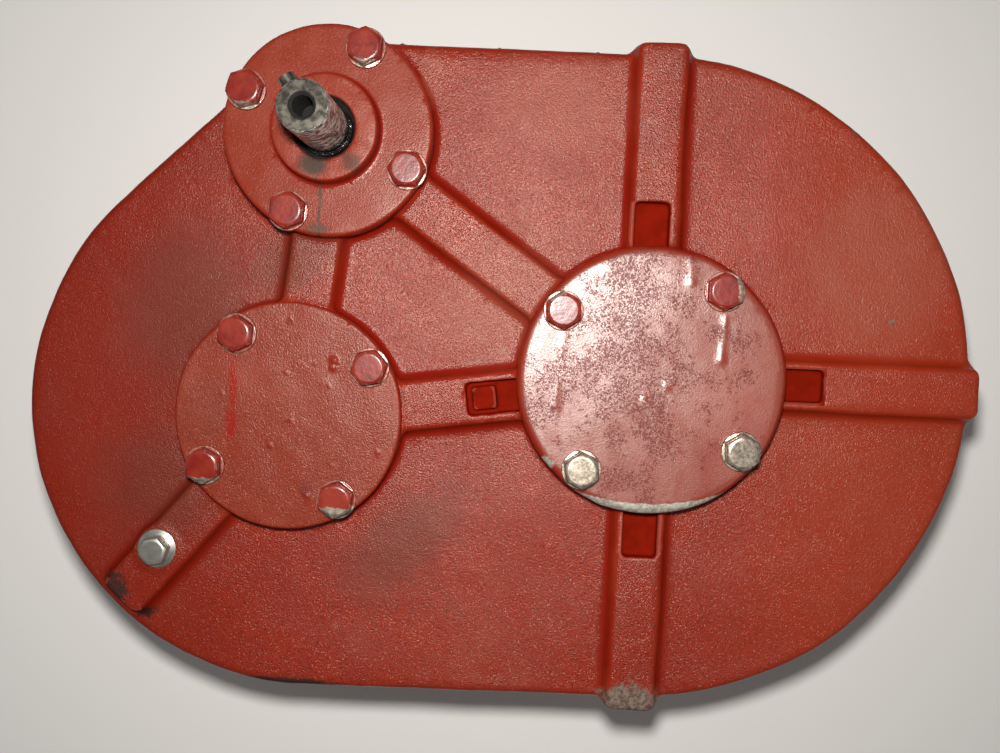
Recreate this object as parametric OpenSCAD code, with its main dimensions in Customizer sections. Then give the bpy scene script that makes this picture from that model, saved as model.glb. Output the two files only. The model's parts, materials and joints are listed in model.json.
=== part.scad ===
// Two-stage parallel-shaft industrial gearbox, lying on its rear mounting face.
// Origin: centre of the hollow output shaft, on the rear face. +Z runs along the
// shafts and out of the front face, +X along the right-hand rib, +Y along the top rib.

/* [Case] */
// Depth of the case from the rear face to the front face
case_depth = 140; // [138:0.5:142]
// Height of the joint between the two case halves
split_z = 62; // [60:0.5:64]
// Thickness of the side walls
wall = 8; // [7:0.5:9]
// Thickness of the front wall
face_wall = 10; // [9:0.5:10]
// Width of the bolting flange outside the walls
flange_w = 16; // [15:0.5:18]
// Thickness of each half of the bolting flange
flange_t = 12; // [11:0.5:13]
// Radius of the lobe around the output shaft
right_r = 176; // [174:0.5:178]
// Radius of the lobe around the intermediate shaft
left_r = 153.5; // [151:0.5:155]
// Radius of the corner at the input shaft
corner_r = 49; // [48:0.5:50]
// Height of the stiffening ribs above the front face
rib_h = 8; // [6:0.5:8]
// Half width of a rib at its foot
rib_foot = 16.5; // [15:0.5:18]
// Half width of a rib at its top
rib_top = 13.2; // [12:0.2:14]
// How far the outer ribs stand past the side wall
rib_over = 4.5; // [3:0.5:6]

/* [Gears] */
// Module of the first, high-speed gear pair
module1 = 3; // [3]
// Teeth on the input pinion
teeth1 = 17; // [17]
// Teeth on the intermediate gear
teeth2 = 84; // [84]
// Module of the second, low-speed gear pair
module2 = 4; // [4]
// Teeth on the intermediate pinion
teeth3 = 18; // [18]
// Teeth on the output gear
teeth4 = 79; // [79]
// Circumferential backlash of each pair
backlash = 0.28; // [0.2:0.02:0.4]
// Face width of the intermediate gear
gear1_w = 28; // [24:1:28]
// Face width of the output gear
gear2_w = 45; // [40:1:45]
// Direction from the output axis to the intermediate axis, degrees
dir2 = 188.3; // [187.5:0.1:189]
// Direction from the intermediate axis to the input axis, degrees
dir1 = 83.6; // [83:0.1:84]

/* [Covers] */
// Radius of the blind output cover
out_cover_r = 71; // [70:0.5:72]
// Thickness of the output cover
out_cover_t = 9; // [8:0.5:10]
// Radius of the intermediate bearing cap
mid_cap_r = 61; // [60:0.5:62]
// Thickness of the intermediate cap
mid_cap_t = 6.5; // [6:0.5:8]
// Radius of the input flange
in_flange_r = 55; // [54:0.5:56]
// Thickness of the input flange
in_flange_t = 9; // [8:0.5:10]
// Radius of the raised seal boss on the input flange
seal_boss_r = 27.5; // [27:0.5:29]
// Radius of the opening round the input shaft
seal_mouth_r = 15.7; // [15.2:0.1:16.5]
// Thickness of the cover gaskets
gasket_t = 0.5; // [0.4:0.1:0.6]

/* [Cover bolts] */
// Bolt circle radius of the output cover
out_bolt_r = 59.4; // [59:0.1:60]
// Bolt circle radius of the intermediate cap
mid_bolt_r = 51.4; // [51:0.1:52]
// Bolt circle radius of the input flange
in_bolt_r = 46.4; // [46:0.1:46.6]
// Width across flats of the M10 heads
hex_af = 17; // [16:0.5:17]
// Height of the M10 heads
hex_h = 6.4; // [6:0.1:7]
// Outer radius of the M10 washers
washer_r = 10.5; // [10:0.1:10.5]

/* [Shafts] */
// Radius of the input shaft end
in_end_r = 12.5; // [12:0.5:12.5]
// Height of the input shaft's tip above the rear face
in_tip_z = 221; // [215:0.5:226]
// Bore radius of the hollow output shaft
out_bore_r = 22.5; // [20:0.5:22.5]
// Width of the keyway in the hollow output shaft
out_key_w = 14; // [12:1:14]

/* [Hidden] */

red = [0.62, 0.13, 0.09];
steel = [0.62, 0.62, 0.60];
zinc = [0.75, 0.75, 0.72];
bronze = [0.72, 0.55, 0.25];
rubber = [0.08, 0.08, 0.08];
paper = [0.20, 0.17, 0.13];

// shaft axes, one gear pair's centre distance apart
out_axis = [0, 0];
mid_axis = module2 * (teeth3 + teeth4) / 2 * [cos(dir2), sin(dir2)];
in_axis = mid_axis + module1 * (teeth1 + teeth2) / 2 * [cos(dir1), sin(dir1)];

face_z = case_depth;
half_gasket = 0.25;              // half the thickness of the case gasket
flange_front = split_z + flange_t;
flange_rear = split_z - flange_t;
gear1_z = face_z - 47;           // rear face of the intermediate gear
gear2_z = 42;                    // rear face of the output gear
fit = 0.02;                      // radial play in bores and round keys

// bearings: [axis, bore radius, outer radius, width, pitch radius, ball radius, balls,
//            [rear z of each]]
in_bearing = [in_axis, 15, 36, 19, 25.5, 6.15, 8, [12, face_z - 9.5]];
mid_bearing = [mid_axis, 17.5, 40, 21, 28.75, 6.75, 8, [12, face_z - 13.5]];
out_bearing = [out_axis, 32.5, 50, 18, 41.25, 5.55, 14, [11, face_z - 7]];
ring_cover = 6;                  // how far shoulders and spigots reach in over an outer ring
function bearing_axis(bearing) = bearing[0];
function bore_r(bearing) = bearing[1];
function outer_r(bearing) = bearing[2];
function ring_w(bearing) = bearing[3];
function pitch_r(bearing) = bearing[4];
function ball_r(bearing) = bearing[5];
function ball_angles(bearing) = [for (k = [0:bearing[6] - 1]) 360 / bearing[6] * k];
function rear_z(bearing) = bearing[7][0];
function front_z(bearing) = bearing[7][1];

// covers: [axis, z of the boss under it, radius, thickness, bolt circle radius,
//          first bolt angle, hole depth, bolt depth, turn of the bolt heads]
out_cover = [out_axis, face_z + 11.5, out_cover_r, out_cover_t, out_bolt_r, 54.2, 20, 18, 34];
mid_cover = [mid_axis, face_z + rib_h + 0.4, mid_cap_r, mid_cap_t, mid_bolt_r, 33, 16.5, 15, 30];
in_cover = [in_axis, face_z + 10.5, in_flange_r, in_flange_t, in_bolt_r, 66.2, 19, 17, 28];
function cover_axis(cover) = cover[0];
function boss_z(cover) = cover[1];
function cover_r(cover) = cover[2];
function cover_z(cover) = boss_z(cover) + gasket_t;
function cover_front(cover) = cover_z(cover) + cover[3];
seal_boss_z = cover_front(in_cover) + 10;
washer_t = 2;                    // M10 washers

// seals
in_seal_r = 23.5;
in_seal_shaft_r = 14;
out_seal_r = 45;

// keys: [width, floor radius, top radius, rear z, front z, direction]
in_key = [8, in_end_r - 4, in_end_r + 4.8, in_tip_z - 43, in_tip_z - 3, 124];
mid_key = [12, 15, 23.3, gear1_z + 1, gear1_z + gear1_w - 1, 200];
out_key = [20, 27.5, 39.7, gear2_z + 1.5, gear2_z + gear2_w - 1.5, 180];

// plugs
level_plug_at = [-262.5, -104.4];
side_plug_z = 26;                // height of the drain plug and the breather
drain_angle = -79;               // direction of the drain plug from the right lobe's centre
breather_fraction = 0.62;        // how far along the top edge the breather stands

// flange fasteners
flange_hex_af = 13;              // M8 bolts and nuts
flange_washer_t = 1.6;
flange_nut_h = 6.5;
bolt_out = 8;                    // distance of the bolts outside the wall

// ---------- outline ----------
// rounded lobes of the case: [x, y, radius], right, top left, left
lobes = [[-0.5, -2, right_r], [-177.8, 125.5, corner_r], [-185, -27, left_r]];

function centre(lobe) = [lobe[0], lobe[1]];
// outward normal of the tangent line from one lobe to the next
function tangent_normal(from, to) =
  let(span = centre(to) - centre(from),
    angle = atan2(span[1], span[0]) - acos((from[2] - to[2]) / norm(span)))
  [cos(angle), sin(angle)];
// edges 0, 1 and 2 are the top, the left and the bottom
function edge_normal(edge) = tangent_normal(lobes[edge], lobes[(edge + 1) % 3]);
function lobe_at(lobe, normal, out) = centre(lobe) + (lobe[2] + out) * normal;
// point the given fraction along an edge, a distance outside the wall
function edge_pt(edge, fraction, out) =
  let(normal = edge_normal(edge),
    start = lobe_at(lobes[edge], normal, out),
    end = lobe_at(lobes[(edge + 1) % 3], normal, out))
  start + fraction * (end - start);
function lobe_pt(index, angle, out) = lobe_at(lobes[index], [cos(angle), sin(angle)], out);

flange_pts = concat(
  [for (a = [-77, -56, -35, -14, 14, 35, 56, 77]) lobe_pt(0, a, bolt_out)],
  [for (f = [0.18, 0.50, 0.83]) edge_pt(0, f, bolt_out)],
  [lobe_pt(1, 118, bolt_out)],
  [for (f = [0.36, 0.94]) edge_pt(1, f, bolt_out)],
  [for (a = [157, 181, 205, 229, 253]) lobe_pt(2, a, bolt_out)],
  [for (f = [0.05, 0.42, 0.80]) edge_pt(2, f, bolt_out)]);
dowel_pts = [lobe_pt(0, 24.5, bolt_out), lobe_pt(2, 217, bolt_out)];

// slab of the case outline, grown outwards
module lobed(out, z_from, z_to) {
  for (lobe = lobes)
    translate([lobe[0], lobe[1], z_from])
      cylinder(r = lobe[2] + out, h = z_to - z_from, $fn = 180);
  translate([0, 0, z_from]) linear_extrude(z_to - z_from)
    polygon([for (i = [0:2]) each [edge_pt(i, 0, out - 0.05), edge_pt(i, 1, out - 0.05)]]);
}

// ---------- helpers ----------
module at_xy(point) translate([point[0], point[1], 0]) children();
module at_each(points) for (p = points) at_xy(p) children();
module rod(radius, z_from, z_to, facets = 96)
  translate([0, 0, z_from]) cylinder(r = radius, h = z_to - z_from, $fn = facets);
module tube(outer, inner, z_from, z_to, facets = 96) difference() {
  rod(outer, z_from, z_to, facets);
  rod(inner, z_from - 1, z_to + 1);
}
module turned(profile, facets = 96) rotate_extrude($fn = facets) polygon(profile);

// half outline as [offset from the middle, height], mirrored to a whole one
function both_sides(half) = concat(
  [for (p = half) [-p[0], p[1]]],
  [for (i = [len(half) - 1:-1:0]) half[i]]);

module at_circle(radius, first)
  for (k = [0:3])
    translate([radius * cos(first + 90 * k), radius * sin(first + 90 * k), 0]) children();
// bolt places of a cover, measured from the cover's own axis
module bolt_circle(cover) at_circle(cover[4], cover[5]) children();

// side plug places on the rear half, z axis out of the wall
module drain_at()
  at_xy(centre(lobes[0])) rotate([0, 0, drain_angle]) translate([right_r, 0, side_plug_z])
    rotate([0, 90, 0]) children();
module breather_at() {
  normal = edge_normal(0);
  place = edge_pt(0, breather_fraction, 0);
  translate([place[0], place[1], side_plug_z]) rotate([0, 0, atan2(normal[1], normal[0])])
    rotate([0, 90, 0]) children();
}

// ---------- ribs ----------
// outer ribs: [direction, sideways offset, reach past the wall]
outer_ribs = [[0, 0, rib_over - 2.8], [90, 1, rib_over], [-90, -0.5, rib_over]];
// ribs on the front face: [centre, direction, start radius, end radius, sideways offset]
face_ribs = [
  [out_axis, dir2, 55, 145, 1.5],
  [out_axis, 145, 55, 175, 0],
  [mid_axis, dir1, 45, 115, 0],
  [mid_axis, 229.7, 45, 139, -1.3]];

// distance from the output axis to the outside of the right lobe's wall
function wall_at(angle) = right_r + lobes[0][0] * cos(angle) + lobes[0][1] * sin(angle);

function rib_section(bottom, face) = both_sides([
  [rib_foot, bottom], [rib_foot, face], [rib_foot - 1.2, face + 0.9],
  [rib_top + 0.6, face + rib_h - 1.2], [rib_top - 0.8, face + rib_h]]);

module face_rib(rib)
  translate([rib[0][0], rib[0][1], face_z]) rotate([0, 0, rib[1]])
    translate([rib[2], rib[4], 0]) rotate([90, 0, 90])
      linear_extrude(rib[3] - rib[2]) polygon(rib_section(-3, 0));

// outer rib that runs over the front edge and down the side wall
module wrap_rib(rib) {
  start = 60;
  wall_x = wall_at(rib[0]);
  end = wall_x + rib[2];
  top = face_z + rib_h;
  rotate([0, 0, rib[0]]) translate([0, rib[1], 0]) intersection() {
    // seen from the front
    translate([0, 0, flange_front]) linear_extrude(top - flange_front)
      polygon([[start, -rib_foot], [wall_x - 2, -rib_foot], [end - 1, -rib_top],
        [end, -rib_top + 2], [end, rib_top - 2], [end - 1, rib_top],
        [wall_x - 2, rib_foot], [start, rib_foot]]);
    // seen along the rib
    translate([start, 0, 0]) rotate([90, 0, 90]) linear_extrude(end - start)
      polygon(rib_section(split_z + 1, face_z));
    // seen from the side
    rotate([90, 0, 0]) translate([0, 0, -30]) linear_extrude(60)
      polygon([[start, split_z + 1], [end, split_z + 1], [end, top - 7], [end - 0.7, top - 4],
        [end - 2.6, top - 1.6], [end - 6, top], [start, top]]);
  }
}

// continuation of an outer rib on the wall of the rear half
module wall_rib(rib, z_from, z_to) {
  start = 150;
  wall_x = wall_at(rib[0]);
  end = wall_x + rib[2];
  rotate([0, 0, rib[0]]) translate([0, rib[1], z_from]) linear_extrude(z_to - z_from)
    polygon([[start, -rib_foot], [wall_x - 2, -rib_foot], [end - 1, -rib_top],
      [end - 1, rib_top], [wall_x - 2, rib_foot], [start, rib_foot]]);
}

// ---------- case halves ----------
// front shaft bosses: [cover, outside radius, radius inside the case, inside depth]
front_bosses = [
  [out_cover, 70, 62, 16],
  [mid_cover, mid_cap_r - 0.5, 50, 15],
  [in_cover, in_flange_r - 0.4, 42, 14]];
// rounded front edge, in steps: [inset, z of the step below the face]
front_edge = [[0.6, 1.8], [2, 0.5], [4, 0]];
// jacking pockets in the ribs beside the output cover:
// [turn, x, y, floor above the face, length in x, length in y]
pockets = [
  [0, -12, 66, 0.8, 18.5, 28.3],
  [0, 66, -8.6, 0.8, 27.5, 17.5],
  [0, -9.6, -96.8, 0.8, 18.6, 30],
  [dir2, 66, -7.6, 0.8, 16, 17.6],
  [dir2, 80, -7.6, 2.5, 18.5, 17.6]];

module front_shell() difference() {
  union() {
    lobed(0, split_z + half_gasket, face_z - 4);
    for (step = front_edge) lobed(-step[0], face_z - 5, face_z - step[1]);
    lobed(flange_w, split_z + half_gasket, flange_front);
    for (rib = outer_ribs) wrap_rib(rib);
    for (rib = face_ribs) face_rib(rib);
    at_xy(level_plug_at) rod(11.5, face_z - 3, face_z + rib_h, 64);
    for (boss = front_bosses)
      at_xy(cover_axis(boss[0])) rod(boss[1], face_z - 4, boss_z(boss[0]));
    // neck that carries the input boss past the corner of the wall
    at_xy(in_axis) rod(in_flange_r - 3.4, face_z - 18, face_z - 3);
  }
  lobed(-wall, split_z - 1, face_z - face_wall);
}

module front_housing() {
  color(red) difference() {
    union() {
      front_shell();
      for (boss = front_bosses)
        at_xy(cover_axis(boss[0])) rod(boss[2], face_z - boss[3], face_z - 3);
    }
    for (bearing = [out_bearing, mid_bearing, in_bearing])
      at_xy(bearing_axis(bearing)) rod(outer_r(bearing) + fit, face_z - 30, face_z + 30);
    for (cover = [out_cover, mid_cover, in_cover])
      at_xy(cover_axis(cover)) bolt_circle(cover)
        rod(5.05, boss_z(cover) - cover[6], boss_z(cover) + 5);
    at_each(flange_pts) rod(4.5, split_z - 5, flange_front + 5);
    at_each(dowel_pts) rod(4.02, split_z - 5, flange_front + 5);
    at_xy(level_plug_at) rod(4.05, face_z - 20, face_z + 20);
    for (pocket = pockets)
      rotate([0, 0, pocket[0]]) translate([pocket[1], pocket[2], face_z + pocket[3]])
        cube([pocket[4], pocket[5], 20]);
  }
  // square cast pad left standing in the left pocket
  color(red) rotate([0, 0, dir2]) translate([82.4, -5.2, face_z - 1])
    cube([13, 12.8, rib_h - 0.6]);
}

module rear_shell() difference() {
  union() {
    lobed(0, 3, split_z - half_gasket);
    lobed(-1.5, 1, 5);
    lobed(-4, 0, 5);
    lobed(flange_w, flange_rear, split_z - half_gasket);
    for (rib = outer_ribs) wall_rib(rib, 6, flange_rear + 1);
    // bosses of the drain plug and the breather on the side walls
    drain_at() rod(15, -4, 4, 64);
    breather_at() rod(15, -4, 4, 64);
  }
  lobed(-wall, 10, split_z + 1);
}

module rear_housing() color(red) difference() {
  union() {
    rear_shell();
    rod(72, 5, 31);
    at_xy(mid_axis) rod(50, 5, 33);
    at_xy(in_axis) rod(42.5, 5, 31);
    drain_at() rod(14, -16, -4, 64);
  }
  rod(out_seal_r + fit, -5, 20);
  rod(outer_r(out_bearing) + fit, rear_z(out_bearing) - 0.1, 60);
  // blind bearing seats, relieved behind the inner rings
  for (bearing = [mid_bearing, in_bearing])
    at_xy(bearing_axis(bearing)) {
      rod(outer_r(bearing) + fit, rear_z(bearing), 60);
      rod(outer_r(bearing) - ring_cover, rear_z(bearing) - 2, rear_z(bearing) + 2);
    }
  // four holes in the rear face round the output shaft
  at_circle(61, 45) rod(6, -5, 22);
  at_each(flange_pts) rod(4.5, split_z - 30, split_z + 5);
  at_each(dowel_pts) rod(4.02, split_z - 10, split_z + 5);
  drain_at() rod(8.05, -30, 30, 64);
  breather_at() rod(8.05, -20, 40, 64);
}

module housing_gasket() color(paper) difference() {
  lobed(flange_w, split_z - half_gasket, split_z + half_gasket);
  lobed(-wall, split_z - 1, split_z + 1);
  at_each(flange_pts) rod(4.6, split_z - 5, split_z + 5);
  at_each(dowel_pts) rod(4.1, split_z - 5, split_z + 5);
}

// ---------- fasteners ----------
module hex(across_flats, height, turn)
  rotate([0, 0, turn]) cylinder(r = across_flats / sqrt(3), h = height, $fn = 6);
// hexagon head with the turned chamfer on top
module hex_head(across_flats, height, turn) {
  corner = across_flats / sqrt(3);
  flat = across_flats / 2;
  intersection() {
    hex(across_flats, height, turn);
    turned([[0, 0], [corner + 0.1, 0],
      [corner + 0.1, height - 0.16 * (corner - flat + 0.9) - 0.55],
      [flat - 0.5, height], [0, height]]);
  }
}
module washer(outer, inner, z, thickness) difference() {
  translate([0, 0, z]) turned([[0, 0], [outer, 0], [outer, thickness - 0.4],
    [outer - 0.4, thickness], [0, thickness]]);
  rod(inner, z - 1, z + thickness + 1);
}

module flange_bolts() color(red) at_each(flange_pts) {
  translate([0, 0, flange_front + flange_washer_t]) hex_head(flange_hex_af, 5.3, 17);
  rod(3.95, flange_rear - 10, flange_front + 2);
}
module flange_washers() color(red) at_each(flange_pts)
  washer(8, 4.2, flange_front, flange_washer_t);
module flange_nuts() color(red) at_each(flange_pts) difference() {
  translate([0, 0, flange_rear - flange_nut_h]) hex(flange_hex_af, flange_nut_h, 9);
  rod(4.0, flange_rear - 8, flange_rear + 1);
}
module locating_dowels() color(steel) at_each(dowel_pts)
  rod(4, split_z - 9, flange_front - 1);

module cover_bolts(cover) {
  seat_z = cover_front(cover) + washer_t;
  at_xy(cover_axis(cover)) bolt_circle(cover) {
    translate([0, 0, seat_z]) hex_head(hex_af, hex_h, cover[8]);
    rod(4.95, boss_z(cover) - cover[7], seat_z + 1);
  }
}
module cover_washers(cover)
  at_xy(cover_axis(cover)) bolt_circle(cover)
    washer(washer_r, 5.25, cover_front(cover), washer_t);

module input_cover_bolts() color(red) cover_bolts(in_cover);
module output_cover_bolts() color(zinc) cover_bolts(out_cover);
module intermediate_cap_bolts() color(red) cover_bolts(mid_cover);
module input_cover_washers() color(red) cover_washers(in_cover);
module output_cover_washers() color(zinc) cover_washers(out_cover);
module intermediate_cap_washers() color(red) cover_washers(mid_cover);

// ---------- covers ----------
spigot_play = 0.05;
// spigot that holds the bearing's outer ring
module spigot(cover, bearing)
  tube(outer_r(bearing) - spigot_play, outer_r(bearing) - ring_cover,
    front_z(bearing) + ring_w(bearing) + 0.1, cover_z(cover) + 1);
module cover_holes(cover) bolt_circle(cover) rod(5.5, cover_z(cover) - 5, cover_z(cover) + 30);

module input_cover() {
  back = cover_z(in_cover);
  front = cover_front(in_cover);
  color(red) at_xy(in_axis) difference() {
    turned([[0, back], [outer_r(in_bearing) - spigot_play, back], [in_flange_r, back],
      [in_flange_r, front - 1.4], [in_flange_r - 0.4, front - 0.5], [in_flange_r - 1.4, front],
      [seal_boss_r + 3, front], [seal_boss_r + 1.2, front + 0.7],
      [seal_boss_r + 0.4, front + 2.4], [seal_boss_r, seal_boss_z - 1.6],
      [seal_boss_r - 0.6, seal_boss_z - 0.4], [seal_boss_r - 1.8, seal_boss_z],
      [0, seal_boss_z]], 180);
    rod(seal_mouth_r, back - 5, seal_boss_z + 5);
    rod(in_seal_r + fit, back - 5, seal_boss_z - 5);
    cover_holes(in_cover);
  }
  color(red) at_xy(in_axis) spigot(in_cover, in_bearing);
}

module output_cover() {
  back = cover_z(out_cover);
  front = cover_front(out_cover);
  edge_r = 4.5;                  // rounding of the front edge
  color(red) difference() {
    turned(concat([[0, back], [out_cover_r, back]],
      [for (k = [0:6]) [out_cover_r - edge_r + edge_r * cos(15 * k),
        front - edge_r + edge_r * sin(15 * k)]],
      [[0, front]]), 180);
    cover_holes(out_cover);
    // recess that clears the shaft end and its circlip
    rod(43.5, back - 3, back + 2.4);
  }
  color(red) spigot(out_cover, out_bearing);
}

module intermediate_cap() {
  back = cover_z(mid_cover);
  front = cover_front(mid_cover);
  color(red) at_xy(mid_axis) {
    difference() {
      turned([[0, back], [mid_cap_r, back], [mid_cap_r, front - 1.2],
        [mid_cap_r - 0.35, front - 0.35], [mid_cap_r - 1.2, front], [0, front]], 180);
      cover_holes(mid_cover);
    }
    spigot(mid_cover, mid_bearing);
  }
}

module gasket_ring(cover, bearing, inset) at_xy(cover_axis(cover)) difference() {
  tube(cover_r(cover) - inset, outer_r(bearing) + 0.1, boss_z(cover), cover_z(cover));
  bolt_circle(cover) rod(5.6, boss_z(cover) - 2, boss_z(cover) + 2);
}
module input_cover_gasket() color(paper) gasket_ring(in_cover, in_bearing, 0.6);
module output_cover_gasket() color(paper) gasket_ring(out_cover, out_bearing, 1.3);
module intermediate_cap_gasket() color(paper) gasket_ring(mid_cover, mid_bearing, 0.8);

// ---------- plugs ----------
module level_plug() color(zinc) at_xy(level_plug_at) {
  translate([0, 0, face_z + rib_h + 2]) hex_head(14, 7, 12);
  rod(4, face_z - 12, face_z + rib_h + 3);
}
module level_plug_washer() color(zinc) at_xy(level_plug_at) difference() {
  translate([0, 0, face_z + rib_h])
    turned([[0, 0], [10.8, 0], [10.8, 0.9], [8.4, 2], [0, 2]]);
  rod(4.2, face_z, face_z + rib_h + 5);
}
module side_plug(head_h) {
  translate([0, 0, 6]) hex_head(19, head_h, 0);
  rod(8, -12, 7, 64);
}
module side_washer() tube(12, 8.1, 4, 6);
module drain_plug() color(steel) drain_at() side_plug(7);
module drain_plug_washer() color(bronze) drain_at() side_washer();
module breather_plug() color(steel) breather_at() difference() {
  union() {
    side_plug(6);
    translate([0, 0, 11])
      turned([[0, 0], [5, 0], [5, 2], [8.5, 2], [8.5, 4.6], [7, 6], [0, 6]]);
  }
  rod(1.5, -13, 12, 32);
}
module breather_washer() color(bronze) breather_at() side_washer();

// ---------- seals ----------
// case, front web and a lip that runs on the shaft
module lip_seal(shaft_r, outer, z, width) {
  tube(outer, outer - 2, z, z + width);
  tube(outer - 1, shaft_r + 2, z + width - 2, z + width);
  translate([0, 0, z])
    turned([[shaft_r + 0.04, width * 0.45], [shaft_r + 1.4, width * 0.2],
      [shaft_r + 2.6, width * 0.3], [shaft_r + 3.2, width], [shaft_r + 1.6, width],
      [shaft_r + 1.3, width * 0.6]]);
}
module input_shaft_seal() color(rubber) at_xy(in_axis)
  lip_seal(in_seal_shaft_r, in_seal_r, seal_boss_z - 12.05, 7);
module output_shaft_seal() color(rubber) translate([0, 0, 10.6]) mirror([0, 0, 1])
  lip_seal(bore_r(out_bearing), out_seal_r, 0, 10);

// ---------- gears ----------
pressure_angle = 20;
function involute(angle) = tan(angle) * 180 / PI - angle;
// half the angle a tooth spans at a radius
function half_tooth(gear_module, teeth, radius) =
  let(ref_r = gear_module * teeth / 2,
    angle = acos(min(1, ref_r * cos(pressure_angle) / radius)))
  (PI * gear_module / 2 - backlash / 2) / (2 * ref_r) * 180 / PI
    + involute(pressure_angle) - involute(angle);
// one tooth centred on +X, as [angle, radius] points
function tooth(gear_module, teeth) =
  let(ref_r = gear_module * teeth / 2,
    tip_r = ref_r + gear_module,
    root_r = ref_r - 1.25 * gear_module,
    clear_r = root_r + 0.25 * gear_module,
    flank_r = max(ref_r * cos(pressure_angle), clear_r),
    foot_r = clear_r < flank_r ? root_r + 0.22 * gear_module : flank_r,
    foot_angle = half_tooth(gear_module, teeth, flank_r),
    steps = 5)
  both_sides(concat(
    [[foot_angle + 20 / teeth, root_r], [foot_angle, foot_r]],
    [for (k = [0:steps]) let(radius = flank_r + (tip_r - flank_r) * k / steps)
      [half_tooth(gear_module, teeth, radius), radius]]));
module gear_prism(gear_module, teeth, width) {
  outline = tooth(gear_module, teeth);
  linear_extrude(width) polygon([for (k = [0:teeth - 1], p = outline)
    let(angle = p[0] + 360 / teeth * k) p[1] * [cos(angle), sin(angle)]]);
}

// recesses on both sides of a gear's web, and six holes through it
module web_cuts(z, width, depth, rim_r, hub_r, ring_r, hole_r, first) {
  tube(rim_r, hub_r, z - 5, z + depth, 120);
  tube(rim_r, hub_r, z + width - depth, z + width + 5, 120);
  for (k = [0:5]) rotate([0, 0, 60 * k + first]) translate([ring_r, 0, 0])
    rod(hole_r, z - 2, z + width + 2);
}
// bore of a gear with a straight slot for its key
module keyed_bore(seat_r, key, slot_from, slot_to, z, width) {
  rod(seat_r + fit, z - 2, z + width + 2);
  rotate([0, 0, key[5]]) translate([slot_from, -key[0] / 2 - fit, z - 1])
    cube([slot_to - slot_from, key[0] + 2 * fit, width + 2]);
}

// round-ended feather key along z
module key_shape(width, r_from, r_to, z_from, z_to) {
  translate([r_from, -width / 2, z_from + width / 2])
    cube([r_to - r_from, width, z_to - z_from - width]);
  for (z = [z_from + width / 2, z_to - width / 2])
    translate([r_from, 0, z]) rotate([0, 90, 0])
      cylinder(r = width / 2, h = r_to - r_from, $fn = 48);
}
module key_slot(key, cut_r)
  rotate([0, 0, key[5]]) key_shape(key[0], key[1], cut_r, key[3], key[4]);
module key_body(key) rotate([0, 0, key[5]])
  key_shape(key[0] - fit, key[1] + fit, key[2], key[3] + fit, key[4] - fit);

// ---------- input shaft ----------
module input_pinion_shaft() {
  journal = bore_r(in_bearing);
  shoulder_z = rear_z(in_bearing) + ring_w(in_bearing) + 0.2;
  front_shoulder_z = front_z(in_bearing) - 0.2;
  color(steel) at_xy(in_axis) difference() {
    union() {
      turned([[0, 12], [journal - 1, 12], [journal, 13], [journal, shoulder_z],
        [18, shoulder_z], [18, face_z - 51], [18, front_shoulder_z],
        [journal, front_shoulder_z], [journal, face_z + 10],
        [in_seal_shaft_r, face_z + 10.6], [in_seal_shaft_r, seal_boss_z - 4.5],
        [in_end_r, seal_boss_z - 3.5], [in_end_r, in_tip_z - 1], [in_end_r - 1, in_tip_z],
        [0, in_tip_z]], 120);
      translate([0, 0, gear1_z - 3]) rotate([0, 0, dir1 + 180 + 180 / teeth1])
        gear_prism(module1, teeth1, gear1_w + 5);
    }
    key_slot(in_key, in_end_r + 6);
    // hole in the shaft end with a countersunk mouth
    rod(5, in_tip_z - 24, in_tip_z + 2);
    translate([0, 0, in_tip_z]) turned([[0, -3], [4.9, -1.2], [6.1, 0], [6.1, 1], [0, 1]], 64);
  }
}
module input_shaft_key() color(steel) at_xy(in_axis) key_body(in_key);

// ---------- intermediate shaft ----------
mid_seat_r = 20;                 // seat of the intermediate gear

module intermediate_pinion_shaft() {
  journal = bore_r(mid_bearing);
  shoulder_z = rear_z(mid_bearing) + ring_w(mid_bearing) + 0.2;
  seat_from = gear1_z - 0.1;
  seat_to = gear1_z + gear1_w + 0.1;
  color(steel) at_xy(mid_axis) difference() {
    union() {
      turned([[0, 12.5], [journal - 1, 12.5], [journal, 13.5], [journal, shoulder_z],
        [22, shoulder_z], [22, 41], [24, 41], [24, seat_from], [mid_seat_r, seat_from],
        [mid_seat_r, seat_to], [journal, seat_to], [journal, face_z + 6.5],
        [journal - 1, face_z + 7.3], [0, face_z + 7.3]], 120);
      translate([0, 0, 40]) rotate([0, 0, dir2 - 180 + 180 / teeth3])
        gear_prism(module2, teeth3, 50);
    }
    key_slot(mid_key, 24);
  }
}
module intermediate_gear() color(steel) at_xy(mid_axis) difference() {
  translate([0, 0, gear1_z]) rotate([0, 0, dir1]) gear_prism(module1, teeth2, gear1_w);
  keyed_bore(mid_seat_r, mid_key, 10, 23.4, gear1_z, gear1_w);
  web_cuts(gear1_z, gear1_w, depth = 8, rim_r = 112, hub_r = 36,
    ring_r = 74, hole_r = 20, first = 20);
}
module intermediate_gear_key() color(steel) at_xy(mid_axis) key_body(mid_key);
module intermediate_spacer() color(steel) at_xy(mid_axis)
  tube(23, bore_r(mid_bearing) + fit, gear1_z + gear1_w + 0.15, front_z(mid_bearing) - 0.05);

// ---------- output shaft ----------
out_seat_r = 35;                 // seat of the output gear

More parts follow.
